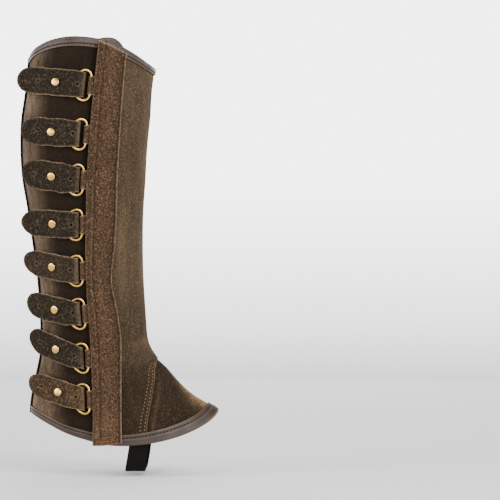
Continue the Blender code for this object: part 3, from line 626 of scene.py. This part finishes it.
heights = np.linspace(HEM + 8.0, RIM - 5.0, 240)
rows = []
for column, inset in ((1, -BACK_ROW), (2, FRONT_ROW)):
    turns = turn_behind(strip_side(heights, column), heights, inset)
    rows.append(sewn_row(turns, heights, strip_rise))
sew("strip_stitches", rows, brown_thread, "strip_suede", pitch=3.2, length=2.3, radius=0.38)
rows = []
for inset in END_ROWS:
    share = np.linspace(0.09, 0.91, 20)
    heights = strip_bottom(share) + inset
    turns = strip_side(heights, 1) + (strip_side(heights, 2) - strip_side(heights, 1)) * share
    rows.append(sewn_row(turns, heights, strip_rise))
sew("strip_end_stitches", rows, rust_thread, "strip_suede", pitch=3.0, length=2.1, radius=0.45)

# Ring tabs: eight short pieces of the strip's suede, each folded round the straight side of
# a ring with both ends sewn under the strip's back edge.
RING_WIRE, RING_BAR, RING_DEPTH, RING_HEIGHT, RING_CORNER = 1.5, 3.4, 17.0, 35.0, 6.5
TAB_HEIGHT, TAB_LEATHER, TAB_NECK_END, TAB_GAP = 20.0, 1.2, 8.2, 0.3
TAB_TOP = UNDERLAP_DEPTH + LAYER - TAB_GAP
BAR_LIFT = TAB_TOP - TAB_LEATHER
# For each strap: ring height, fold gap, stud distance, tip x and height, width, width at the fold.
strap_cuts = (
    (99.7, 9.4, 39, -71, 107, 28.5, 26.4), (48, 10, 39, -66.6, 53, 29, 25.7),
    (0.2, 7.4, 35.5, -65.2, 9, 30.5, 25.7), (-47, 7.2, 33.5, -67.4, -43, 28.6, 26.4),
    (-95.5, 7.8, 34.5, -65.2, -84.2, 28, 26.4), (-141, 8, 34, -62.2, -129.6, 28.6, 24.6),
    (-188, 8.1, 36, -59.8, -166.5, 28, 23), (-231, 8.8, 36.5, -60.2, -215, 27, 24.2),
)


def outer_place(distance, height, lift):
    """Point above the rear panel at a distance behind the strip's back edge."""
    distance, height = np.broadcast_arrays(np.asarray(distance, float), np.asarray(height, float))
    turn = turn_behind(strip_side(height, 1), height, distance)
    rise = dive(turn, height) + lift
    return leg_point(turn, height) + leg_normal(turn, height) * rise[..., None]


def height_at(distance, z):
    """Height on the leg form at a distance behind the strip and at a true height."""
    height = np.array(z, float)
    for _ in range(8):
        turn = turn_behind(strip_side(height, 1), height, distance)
        height = height + z - leg_point(turn, height)[..., 2]
    return height


bend = np.radians(np.linspace(50, 290, 19))
wrap = RING_WIRE + TAB_GAP + TAB_LEATHER
loop = np.column_stack((RING_BAR - wrap * np.cos(bend), BAR_LIFT + wrap * np.sin(bend)))
neck = (-TAB_NECK_END, TAB_TOP), (-2.0, TAB_TOP)
tab_line = resampled(np.vstack((neck, loop, (-TAB_NECK_END, TAB_TOP - 2 * TAB_LEATHER))), 60)
ring_heights = [float(height_at(cut[1], cut[0])) for cut in strap_cuts]
for number, ring_height in enumerate(ring_heights, 1):
    def tab_point(u, v):
        distance, lift = read_line(u, np.linspace(0, 1, len(tab_line)), tab_line).T
        flare = 1.0 - 0.06 * smooth_step(distance / 6.0) + 0.012 * np.sin(u * 23 + number)
        return outer_place(distance, ring_height + (v - 0.5) * TAB_HEIGHT * flare, lift)

    tab, u, v = moved_grid(f"ring_tab_suede_{number}", 59, 14, lambda u, v: tab_point(1 - u, v))
    surface_values(tab, rub=0.5 * peak(u - 0.55, 0.12), fray=0.6 * peak(0.5 - np.abs(v - 0.5), 0.05))
    thicken(tab, TAB_LEATHER, (strip_suede, flesh_suede, strip_edge), 0.2)
    keep(tab, "strip_suede", f"ring_tab_{number}")

# D-rings: eight rings bent from 3 mm brass wire and polished, with the joint of each in its
# straight side, where the tab hides it.


def metal(name, bright, dull, roughness):
    """Polished brass with fine wear and a faint tarnish."""
    finish = Finish(name)
    stain = finish.noise(180.0)
    polish = finish.node("MapRange", "Result", {"To Min": roughness, "To Max": roughness + 0.2, "Value": stain})
    return finish.surface(polish, 0.5, finish.over(stain, srgb(*bright), srgb(*dull)),
                          finish.bump(finish.noise(1400.0, 4.0), 0.15, 0.0001), {"Metallic": 1.0})


brass = metal("polished_brass", (220, 180, 98), (160, 120, 60), 0.13)
half, round_half = RING_HEIGHT / 2 - RING_WIRE, RING_HEIGHT / 2 - RING_WIRE - RING_CORNER
corner, bow = np.radians(np.linspace(10, 80, 8)), np.radians(np.linspace(90, -90, 31))
corner = np.column_stack((RING_BAR + RING_CORNER * (1 - np.cos(corner)), round_half + RING_CORNER * np.sin(corner)))
bow = np.column_stack((RING_BAR + RING_CORNER + (RING_DEPTH - RING_CORNER) * np.cos(bow), half * np.sin(bow)))
bar = np.column_stack((np.full(9, RING_BAR), round_half * np.linspace(-1, 1, 9)))
ring_line = np.vstack((bar, corner, bow, corner[::-1] * (1, -1)))
FOLD_RADIUS = RING_WIRE + LAYER
BOW_LIFT = LAYER + SUEDE + FOLD_RADIUS
for number, ring_height in enumerate(ring_heights, 1):
    share = smooth_step((ring_line[:, 0] - RING_BAR) / (RING_DEPTH / 2))
    centres = outer_place(ring_line[:, 0], ring_height + ring_line[:, 1], BAR_LIFT + (BOW_LIFT - BAR_LIFT) * share)
    wire = bpy.data.curves.new(f"brass_ring_{number}", "CURVE")
    wire.dimensions = "3D"
    wire.bevel_depth, wire.bevel_resolution = RING_WIRE * MM, 3
    line = wire.splines.new("POLY")
    line.points.add(len(centres) - 1)
    line.points.foreach_set("co", np.column_stack((centres * MM, np.ones(len(centres)))).ravel())
    line.use_cyclic_u = True
    ring = bpy.data.objects.new(f"brass_ring_{number}", wire)
    bpy.context.scene.collection.objects.link(ring)
    select(ring)
    bpy.ops.object.convert(target="MESH")
    bpy.ops.object.shade_smooth()
    ring.data.materials.clear()
    ring.data.materials.append(brass)
    keep(ring, "brass", f"d_ring_{number}")

# Straps: eight dark suede straps with raw edges. Each is sewn to the rear panel, passed
# through its ring and folded back, so that its rounded tip ends past the back line. It has
# three punched holes and a line pressed in along its edge, darkened as painted shade; straps 5 and 8 are paler.
STRAP_SEWN_END, HOLE_RADIUS, TIP_COLUMNS = 56.0, 1.25, 20
tip_rounds = 19.0, 21.0, 20.0, 23.0, 20.0, 19.0, 19.0, 18.5
strap_suede = suede("strap_suede", (34, 27, 18), (25, 19, 13), (76, 64, 50), (92, 78, 62), 0.75)
pale_strap = suede("pale_strap_suede", (58, 44, 30), (42, 31, 21), (102, 80, 57), (108, 86, 64), 0.75)
mid_strap = suede("mid_strap_suede", (45, 35, 25), (33, 25, 18), (84, 69, 54), (98, 81, 64), 0.7)
strap_edge = suede("strap_edge", (70, 58, 45), (50, 41, 32), (100, 85, 68), (90, 76, 60), 0.7)
strap_finishes = [strap_suede] * 4 + [mid_strap] + [strap_suede] * 2 + [pale_strap]


class StrapLine:
    """Where one strap runs: round the leg until past its stud, then straight on."""

    def __init__(self, ring_z, fold_gap, stud_distance, tip_x, tip_z, width, fold_width):
        self.ring_z, self.fold_gap, self.stud_distance, self.tip_z = ring_z, fold_gap, stud_distance, tip_z
        self.width, self.fold_width = width, fold_width
        self.held = stud_distance + 3.0
        before, end = (self.sewn_point(distance, tip_z, LAYER + SUEDE) for distance in (stud_distance, self.held))
        self.reach = self.held + (tip_x - end[0]) / (end - before)[0] * np.linalg.norm(end - before)

    def sewn_point(self, distance, z, lift):
        """Point that follows the leg, at a true height."""
        distance, z, lift = np.broadcast_arrays(distance, z, lift)
        return outer_place(distance, height_at(distance, z), lift)

    def point(self, distance, z, lift):
        """Point of the folded-back layer, which leaves the leg past its stud."""
        distance, z, lift = np.broadcast_arrays(distance, z, lift)
        end = self.sewn_point(np.minimum(distance, self.held), z, lift)
        along = self.sewn_point(self.held, z, lift) - self.sewn_point(self.stud_distance, z, lift)
        along /= np.linalg.norm(along, axis=-1, keepdims=True)
        return end + along * np.maximum(distance - self.held, 0.0)[..., None]

    def centre(self, distance):
        return self.ring_z + (self.tip_z - self.ring_z) * (distance - self.fold_gap) / (self.reach - self.fold_gap)

    def half_width(self, distance):
        share = np.clip((distance - self.fold_gap) / 16.0, 0.0, 1.0)
        return (self.fold_width + (self.width - self.fold_width) * share) / 2

    def upper_lift(self, distance):
        """Underside of the upper layer: over the wire, then down on the sewn layer."""
        over, on = LAYER + SUEDE + 2 * FOLD_RADIUS, LAYER + SUEDE + LAYER
        return over + (on - over) * smooth_step((distance - RING_BAR - RING_DEPTH - RING_WIRE - 1.5) / 9.0)

    def upright(self, distance, rise):
        """Foot and upward turn of something that stands on the folded-back layer."""
        lift = float(self.upper_lift(distance)) + rise
        foot, above = (self.point(distance, self.centre(distance), lift + way) for way in (0.0, 1.0))
        return Vector((foot * MM).tolist()), Vector((above - foot).tolist()).to_track_quat("Z", "Y")


strap_lines = [StrapLine(*cut) for cut in strap_cuts]
for number, (line, finish, tip_round) in enumerate(zip(strap_lines, strap_finishes, tip_rounds), 1):
    bend_distance = line.fold_gap + FOLD_RADIUS + SUEDE
    tip_start = line.reach - tip_round - 4.0
    upper = np.r_[np.full(TIP_COLUMNS, tip_start), np.linspace(tip_start, bend_distance, 44)]
    turn = np.radians(np.linspace(180, 0, 17))[1:-1]
    lower = np.linspace(bend_distance, STRAP_SEWN_END, 30)
    distances = np.r_[upper, bend_distance - (FOLD_RADIUS + SUEDE) * np.sin(turn), lower]
    bend_lifts, sewn_lifts = BOW_LIFT - (FOLD_RADIUS + SUEDE) * np.cos(turn), np.full(len(lower), LAYER)
    halves = line.half_width(distances)
    halves[len(upper):] = line.fold_width / 2
    folded = np.arange(len(distances)) < len(upper) + len(turn)
    tip_share = np.r_[np.linspace(1.0, 1 / TIP_COLUMNS, TIP_COLUMNS), np.zeros(len(distances) - TIP_COLUMNS)]

    def strap_places(u, v):
        """Column, distance, offset from the centre line and inset from the cut edge."""
        index = np.rint(u * (len(distances) - 1)).astype(int)
        across = np.sin((v - 0.5) * math.pi)
        round_end = line.reach - tip_round * (1 - np.sqrt(np.maximum(1 - across ** 2, 0.0)))
        distance = distances[index] + (round_end - tip_start) * tip_share[index]
        from_centre = np.hypot(np.maximum(distance - line.reach + tip_round, 0.0) / tip_round, across)
        inset = np.minimum(1 - np.abs(across), 1 - from_centre) * halves[index]
        return index, distance, across * halves[index], inset

    def strap_point(u, v):
        index, distance, rise, inset = strap_places(u, v)
        edge = np.clip(1 - inset / 3.0, 0.0, 1.0) * folded[index]
        waves = 0.3 * np.sin(distance * 0.31 + number * 2.1) + 0.15 * np.sin(distance * 0.9 + number)
        lift = np.r_[line.upper_lift(upper) + SUEDE, bend_lifts, sewn_lifts][index]
        lift = lift + edge * (0.5 * np.sin(distance * 0.12 + number) ** 2 - 0.25)
        z = line.centre(distance) + rise + edge * np.sign(rise) * waves
        return np.where(folded[index][:, None], line.point(distance, z, lift), line.sewn_point(distance, z, lift))

    strap, u, v = moved_grid(f"suede_strap_{number}", len(distances) - 1, 24, strap_point)
    index, distance, rise, inset = strap_places(u, v)
    top = index < len(upper)
    fold = peak(distance - line.fold_gap - 1.0, 2.6)
    holes = (min(line.stud_distance - 19.0, 17.0), line.stud_distance, line.stud_distance + 21.0)
    near_hole = sum(peak(np.hypot(distance - hole, rise) - 2.0, 0.7) for hole in holes)
    # Rubbed paler at the fold, the edges and round the holes; the pressed line along the edge is painted shade.
    surface_values(strap, rub=np.clip(0.8 * fold + 0.25 * peak(inset, 1.6) + 0.6 * near_hole * top, 0, 1),
                   fray=0.7 * peak(inset, 0.5) * smooth_step((line.reach - distance - 8.0) / 14.0),
                   groove=np.where(top, 0.45 * peak(inset - 2.8, 0.6), 0.0))
    thicken(strap, SUEDE, (finish, flesh_suede, strap_edge), 0.3, 55.0)
    for hole in holes:
        middle, turned = line.upright(hole, SUEDE / 2)
        select()
        bpy.ops.mesh.primitive_cylinder_add(vertices=16, radius=HOLE_RADIUS * MM, depth=3.4 * MM,
                                            location=middle, rotation=turned.to_euler())
        punch = bpy.context.object
        bpy.context.view_layer.objects.active = strap
        cut = strap.modifiers.new("punched", "BOOLEAN")
        cut.object, cut.operation, cut.solver = punch, "DIFFERENCE", "EXACT"
        bpy.ops.object.modifier_apply(modifier=cut.name)
        bpy.data.objects.remove(punch)
    keep(strap, "dark_suede", f"strap_{number}")
rows = []
for line in strap_lines:
    for distance in (STRAP_SEWN_END - 2.5, STRAP_SEWN_END - 8.0):
        heights = line.centre(distance) + np.linspace(-9.0, 9.0, 8)
        rows.append((line.sewn_point(distance, heights, LAYER + SUEDE + 0.1),
                     leg_normal(turn_behind(strip_side(heights, 1), heights, distance), heights)))
sew("strap_stitches", rows, dark_thread, "dark_suede")

# Studs: eight turned brass studs. A flat base lies under the strap, a short neck comes up
# through its middle hole, and a flat round head with a softened rim holds the strap down.
BASE_RADIUS, BASE_LEVEL = 3.2, -1.6
stud_profile = ((3.2, -1.2), (1.5, -1.2), (1.5, 0.9), (3.9, 1.0), (4.2, 1.3), (4.2, 1.9), (3.95, 2.25),
                (3.2, 2.45), (1.4, 2.6))
for number, line in enumerate(strap_lines, 1):
    select()
    bpy.ops.mesh.primitive_circle_add(vertices=28, radius=BASE_RADIUS * MM, fill_type="NGON",
                                      location=(0.0, 0.0, BASE_LEVEL * MM))
    stud = bpy.context.object
    stud.name = stud.data.name = f"brass_stud_{number}"
    bpy.ops.object.transform_apply(location=True, rotation=False, scale=False)
    bpy.ops.object.mode_set(mode="EDIT")
    bpy.ops.mesh.select_all(action="SELECT")
    radius, level = BASE_RADIUS, BASE_LEVEL
    for new_radius, new_level in stud_profile:
        bpy.ops.mesh.extrude_region_move(TRANSFORM_OT_translate={"value": (0.0, 0.0, (new_level - level) * MM)})
        factor = new_radius / radius
        bpy.ops.transform.resize(value=(factor, factor, 1.0), center_override=(0.0, 0.0, 0.0))
        radius, level = new_radius, new_level
    bpy.ops.mesh.select_all(action="SELECT")
    bpy.ops.mesh.normals_make_consistent(inside=False)
    bpy.ops.object.mode_set(mode="OBJECT")
    seat, turned = line.upright(line.stud_distance, SUEDE)
    stud.data.transform(Matrix.Translation(seat) @ turned.to_matrix().to_4x4())
    bpy.ops.object.shade_smooth_by_angle(angle=math.radians(35))
    stud.data.materials.append(brass)
    keep(stud, "brass", f"stud_{number}")

# Grip patch: a large piece of suede sewn on the inner calf with two rows round its edge,
# rubbed smoother by use, with a painted highlight across its middle. It lies on the main panel and follows its folds.
PATCH_THICKNESS = 1.8
patch_corners = np.array((
    (210, 65), (210, -130), (213, -144), (222, -157), (238, -171), (256, -181), (272, -185), (290, -184),
    (305, -177), (316, -163), (323, -144), (327, -118), (327, 90), (262, 91), (248, 89), (230, 80),
), float)
patch_suede = suede("patch_suede", (50, 38, 27), (35, 26, 18), (78, 62, 47), (92, 74, 56))
patch_edge = suede("patch_edge", (84, 68, 52), (60, 48, 36), (108, 90, 71), (98, 82, 65), 0.6, 0.05)
following = np.roll(patch_corners, -1, axis=0)
patch_outline = np.stack([patch_corners * (1 - share) + following * share for share in (0.25, 0.75)], 1)
patch_outline = patch_outline.reshape(-1, 2)
patch_sides = list(zip(patch_outline, np.roll(patch_outline, -1, axis=0)))
patch_normals = np.array([
    (start[1] - end[1], end[0] - start[0]) / np.hypot(*(end - start)) for start, end in patch_sides])
PATCH_ROWS, PATCH_DEGREE = (2.4, 8.0), 0.9


def patch_inset(turn, height):
    """Distance inwards from the patch's outline, near enough in millimetres."""
    nearest = np.full(np.shape(turn), 999.0)
    for start, end in patch_sides:
        run = end - start
        share = np.clip(((turn - start[0]) * run[0] + (height - start[1]) * run[1]) / (run @ run), 0.0, 1.0)
        away = np.hypot(turn - start[0] - run[0] * share, height - start[1] - run[1] * share)
        nearest = np.minimum(nearest, away)
    return nearest * PATCH_DEGREE


def patch_rise(turn, height):
    inset = patch_inset(turn, height)
    return LAYER + PATCH_THICKNESS - 0.3 * peak(inset - PATCH_ROWS[0], 1.0) - 0.25 * peak(inset - PATCH_ROWS[1], 1.2)


select()
bpy.ops.mesh.primitive_grid_add(x_subdivisions=84, y_subdivisions=186, size=1.0)
patch = bpy.context.object
patch.name = patch.data.name = "suede_grip_patch"
low, high = patch_outline.min(axis=0) - 1.0, patch_outline.max(axis=0) + 1.0
patch.data.transform(Matrix.Translation(((low[0] + high[0]) / 2, (low[1] + high[1]) / 2, 0.0))
                     @ Matrix.Diagonal((high[0] - low[0], high[1] - low[1], 1.0, 1.0)))
bpy.ops.object.mode_set(mode="EDIT")
for corner, normal in zip(patch_outline, patch_normals):
    bpy.ops.mesh.select_all(action="SELECT")
    bpy.ops.mesh.bisect(plane_co=(*corner, 0.0), plane_no=(*normal, 0.0), clear_inner=True, threshold=0.05)
bpy.ops.object.mode_set(mode="OBJECT")
flat = np.array([corner.co[:2] for corner in patch.data.vertices])
turn, height = flat[:, 0], flat[:, 1]
patch.data.vertices.foreach_set("co", (worn_point(turn, height, patch_rise(turn, height)) * MM).ravel())
inset = patch_inset(turn, height)
# Paler on the raised folds, with a painted highlight across the middle; painted shade in the stitch rows.
ridge = np.clip(fold_lift(turn, height, worn_folds), 0, 3) * 0.3
lit = 0.55 * peak(turn - 262.0, 30.0) * peak(height + 60.0, 110.0)
surface_values(patch, rub=np.clip(ridge + lit, 0, 1), fray=peak(inset, 1.0),
               groove=0.7 * peak(inset - PATCH_ROWS[0], 0.9) + 0.5 * peak(inset - PATCH_ROWS[1], 0.9))
thicken(patch, PATCH_THICKNESS, (patch_suede, flesh_suede, patch_edge))
keep(patch, "patch_suede", "grip_patch")
rows = []
both = patch_normals + np.roll(patch_normals, 1, axis=0)
for inset in PATCH_ROWS:
    line = patch_outline + both / (both ** 2).sum(axis=1, keepdims=True) * 2 * inset / PATCH_DEGREE
    rows.append(sewn_row(*resampled(np.vstack((line, line[:1])), 400).T, patch_rise))
sew("patch_stitches", rows, tan_thread, "patch_suede", pitch=3.4)

# Rim and hem bindings: strips of smooth brown leather folded over the edge and sewn through
# in dark thread. The flap's bindings pass under the ends of the strip, and the rear ones
# run on under the flap.
BINDING_LEATHER, BINDING_STITCH = 1.2, 1.15


def smooth_leather(name, ground, worn_and_highlight, roughness, gloss=0.35):
    """Smooth drum-dyed leather: fine grain, low gloss and a random paler tone, with paler lines where stored values
    paint highlights.
    """
    finish = Finish(name)
    tone, rub = finish.noise(60.0, 4.0), finish.node("Attribute", "Fac", attribute_name="rub")
    share = finish.node("Math", "Value", {0: tone, 1: 0.45, 2: rub}, operation="MULTIPLY_ADD")
    rough = finish.node("MapRange", "Result", {"To Min": roughness + 0.12, "To Max": roughness - 0.08, "Value": tone})
    grain = finish.bump(finish.node("TexVoronoi", "Distance", {"Scale": 900.0, "Vector": finish.place}), 0.35, 0.0003)
    return finish.surface(rough, gloss, finish.over(share, srgb(*ground), srgb(*worn_and_highlight)),
                          finish.bump(finish.noise(1600.0), 0.2, 0.0002, Normal=grain))


binding_leather = smooth_leather("binding_leather", (24, 16, 11), (80, 61, 46), 0.44)
bend = np.radians(np.linspace(90, 270, 13))
edge_round = np.column_stack((1.0 + 2.5 * np.cos(bend), -1.0 + 2.5 * np.sin(bend)))


def add_binding(node, edge, width, start, end, columns, base, shape):
    """A folded strip of leather round one edge, from one turn to another, and its stitch row."""
    inward = 1.0 if edge < 0 else -1.0
    row = 0.66 * width
    outer_leg = np.column_stack((np.linspace(width, 1.6, 25), np.full(25, 1.5)))
    outer_leg[:, 1] += 0.4 * np.sin(np.linspace(0, math.pi, 25)) - 0.6 * peak(outer_leg[:, 0] - row, 0.8)
    inner_leg = np.column_stack((np.linspace(1.6, width, 10), np.full(10, -3.5)))
    binding_line = np.vstack((outer_leg, edge_round, inner_leg))
    rows = len(binding_line) - 1

    def place(u, v):
        u = u if inward > 0 else 1 - u
        index = np.rint(v * rows).astype(int)
        height = edge + inward * binding_line[index, 0]
        turn = start(height) + (end(height) - start(height)) * u
        return turn, height, binding_line[index, 1] + base(turn, height)

    made, u, v = moved_grid(f"{node}_leather", columns, rows, lambda u, v: shape(*place(u, 1 - v)))
    inset = binding_line[np.rint((1 - v) * rows).astype(int), 0]
    # Painted highlights: paler lines along the crest of the fold, along the cut edge and beside the stitch row.
    painted_highlight_lines = 0.45 * peak(inset + 0.9, 1.3) + 0.5 * peak(inset - width + 0.5, 0.6)
    surface_values(made, rub=painted_highlight_lines + 0.4 * peak(inset - row + 1.6, 0.6))
    thicken(made, BINDING_LEATHER, (binding_leather,), 0.2)
    keep(made, "smooth_leather", node)
    height = edge + inward * row
    turns = np.linspace(float(start(height)), float(end(height)), columns * 2)[2:-2]
    return sewn_row(turns, np.full(len(turns), height), base, BINDING_STITCH, shape)


def under_end(height):
    return turn_behind(strip_side(height, 1), height, -20.0 - 13.0 * smooth_step(height / 100.0))


def flap_start(height):
    return turn_behind(strip_side(height, 1), height, -FLAP_SETBACK)


def front_end(height):
    return 360.0 - seam_turn(height)


sew("binding_stitches", [
    add_binding("rim_binding_rear", RIM, 9.0, seam_turn, under_end, 120, dive, underlap_point),
    add_binding("rim_binding_front", RIM, 10.0, flap_start, front_end, 260,
                lambda turn, height: 0.0 * turn, worn_point),
    add_binding("hem_binding_rear", HEM, 10.0, seam_turn, under_end, 120, dive, worn_point),
    add_binding("hem_binding_front", HEM, 10.0, flap_start, front_end, 340,
                lambda turn, height: seam_lap(turn, height) * 0.8, worn_point),
], dark_thread, "smooth_leather", pitch=4.0, length=3.0, radius=0.55)

# Back welt: a thin cord of leather caught in the back seam from rim to hem, coloured near black, which also paints
# the shadow in the seam.
welt_leather_seam_shade = smooth_leather("welt_leather_seam_shade", (8, 6, 5), (20, 15, 12), 0.7, 0.1)


def welt_place(u, v):
    height = HEM + (RIM - HEM) * v
    half_turn = WELT_RADIUS / degree_length(0.0, height)
    return worn_point(np.sin(-u * math.tau) * half_turn, height, 1.5 + np.cos(u * math.tau) * WELT_RADIUS)


welt = moved_grid("back_seam_welt", 12, 240, lambda u, v: welt_place(1 - u, v))[0]
bpy.ops.object.mode_set(mode="EDIT")
bpy.ops.mesh.select_all(action="SELECT")
bpy.ops.mesh.remove_doubles(threshold=0.00001)
bpy.ops.mesh.select_all(action="DESELECT")
bpy.ops.mesh.select_non_manifold()
bpy.ops.mesh.edge_face_add()
bpy.ops.mesh.select_all(action="SELECT")
bpy.ops.mesh.normals_make_consistent(inside=False)
bpy.ops.object.mode_set(mode="OBJECT")
bpy.ops.object.shade_smooth_by_angle(angle=math.radians(50))
welt.data.materials.append(welt_leather_seam_shade)
keep(welt, "smooth_leather", "back_welt")

# Under-foot elastic: woven black elastic with ribs along it, 21 mm wide. Its two ends are
# sewn inside the hem on the outer and inner side, and it runs under the sole.
ELASTIC_WIDTH, ELASTIC, HEM_GAP = 21.0, 1.5, 0.6
ELASTIC_TOP_X, ELASTIC_BOTTOM_X, ELASTIC_BOTTOM_Z, ELASTIC_TAIL, ELASTIC_BEND = 57.6, 52.6, -307.0, 17.0, 12.0


def elastic_edge(offset):
    """Outer line of one edge of the elastic, from the outer hem to the inner hem."""
    turn = outer_turn(HEM, ELASTIC_TOP_X + offset)
    tails = HEM + np.linspace(ELASTIC_TAIL, 0.0, 8)
    half = leg_point(turn, tails) + leg_normal(turn, tails) * -(SUEDE + HEM_GAP + BINDING_LEATHER + LAYER)
    angles = np.linspace(0, math.pi / 2, 12)
    z = ELASTIC_BOTTOM_Z + ELASTIC_BEND * (1 - np.sin(angles))
    x = offset + np.interp(z, (ELASTIC_BOTTOM_Z, HEM), (ELASTIC_BOTTOM_X, ELASTIC_TOP_X))
    curve = np.column_stack((x, half[-1, 1] + ELASTIC_BEND * (1 - np.cos(angles)), z))
    half = np.vstack((half, curve))
    return resampled(np.vstack((half, half[::-1] * (1, -1, 1))), 121)


elastic_sides = elastic_edge(-ELASTIC_WIDTH / 2), elastic_edge(ELASTIC_WIDTH / 2)


def elastic_place(u, v):
    index = np.rint(v * 120).astype(int)
    return elastic_sides[0][index] * (1 - u[:, None]) + elastic_sides[1][index] * u[:, None]


def woven_elastic(name):
    """Woven elastic: ribs along the band, fine picks across it, matt black yarn."""
    finish = Finish(name, "UVMap", "UV")
    ribs, picks = (finish.node("TexWave", "Fac", {"Scale": scale, "Vector": finish.place}, bands_direction=way)
                   for scale, way in ((4.5, "X"), (30.0, "Y")))
    high = finish.node("Math", "Value", {0: picks, 1: 0.3, 2: ribs}, operation="MULTIPLY_ADD")
    return finish.surface(0.9, 0.1, finish.over(high, srgb(6, 5, 4), srgb(18, 16, 13)),
                          finish.bump(high, 0.8, 0.0006))


elastic = moved_grid("foot_elastic_band", 42, 120, elastic_place)[0]
thicken(elastic, ELASTIC, (woven_elastic("black_elastic"),), 0.2)
keep(elastic, "black_elastic", "foot_elastic")

# Studio: a plain pale floor under the sole's height, broad soft lights and the camera level
# with the middle of the leg.
select()
bpy.ops.mesh.primitive_plane_add(size=3.8, location=(0.0, 0.0, -0.3135))
floor = bpy.context.object
floor.name = "floor"
paper = bpy.data.materials.new("pale_floor")
paper.use_nodes = True
paper.node_tree.nodes["Principled BSDF"].inputs["Base Color"].default_value = (0.86, 0.86, 0.86, 1.0)
paper.node_tree.nodes["Principled BSDF"].inputs["Roughness"].default_value = 0.9
floor.data.materials.append(paper)
world = bpy.data.worlds.new("studio")
world.use_nodes = True
nodes, links = world.node_tree.nodes, world.node_tree.links
sky, split, level, ramp = (nodes.new(kind) for kind in (
    "ShaderNodeTexCoord", "ShaderNodeSeparateXYZ", "ShaderNodeMapRange", "ShaderNodeValToRGB"))
level.inputs["From Min"].default_value = -1.0
shades = ramp.color_ramp.elements
shades[0].position, shades[0].color = 0.4728, (0.31, 0.31, 0.31, 1.0)
shades[1].position, shades[1].color = 0.515, (1.0, 1.0, 1.0, 1.0)
for place, shade in ((0.57, 1.0), (0.70, 0.09)):
    shades.new(place).color = (shade, shade, shade, 1.0)
nodes["Background"].inputs["Strength"].default_value = 5.0
links.new(sky.outputs["Generated"], split.inputs["Vector"])
links.new(split.outputs["Z"], level.inputs["Value"])
links.new(level.outputs["Result"], ramp.inputs["Fac"])
links.new(ramp.outputs["Color"], nodes["Background"].inputs["Color"])
bpy.context.scene.world = world
for name, place, size, power in (
        ("left_light", (-1.7, -0.8, 0.6), 1.0, 24.0), ("front_right_light", (1.2, -1.6, 1.0), 1.0, 40.0),
        ("top_light", (0.1, 0.1, 1.9), 1.4, 12.0), ("back_light", (0.2, 1.8, 0.7), 1.4, 18.0)):
    lamp = bpy.data.lights.new(name, "AREA")
    lamp.size, lamp.energy = size, power
    light = bpy.data.objects.new(name, lamp)
    light.location = place
    light.rotation_euler = (Vector((0.0, 0.0, -0.08)) - light.location).to_track_quat("-Z", "Y").to_euler()
    bpy.context.scene.collection.objects.link(light)
lens = bpy.data.cameras.new("camera")
lens.lens, lens.clip_end = 167.5, 30.0
camera = bpy.data.objects.new("camera", lens)
camera.location = (0.1745, -2.5, -0.0735)
camera.rotation_euler = (math.pi / 2, 0.0, 0.0)
bpy.context.scene.collection.objects.link(camera)
bpy.context.scene.camera = camera
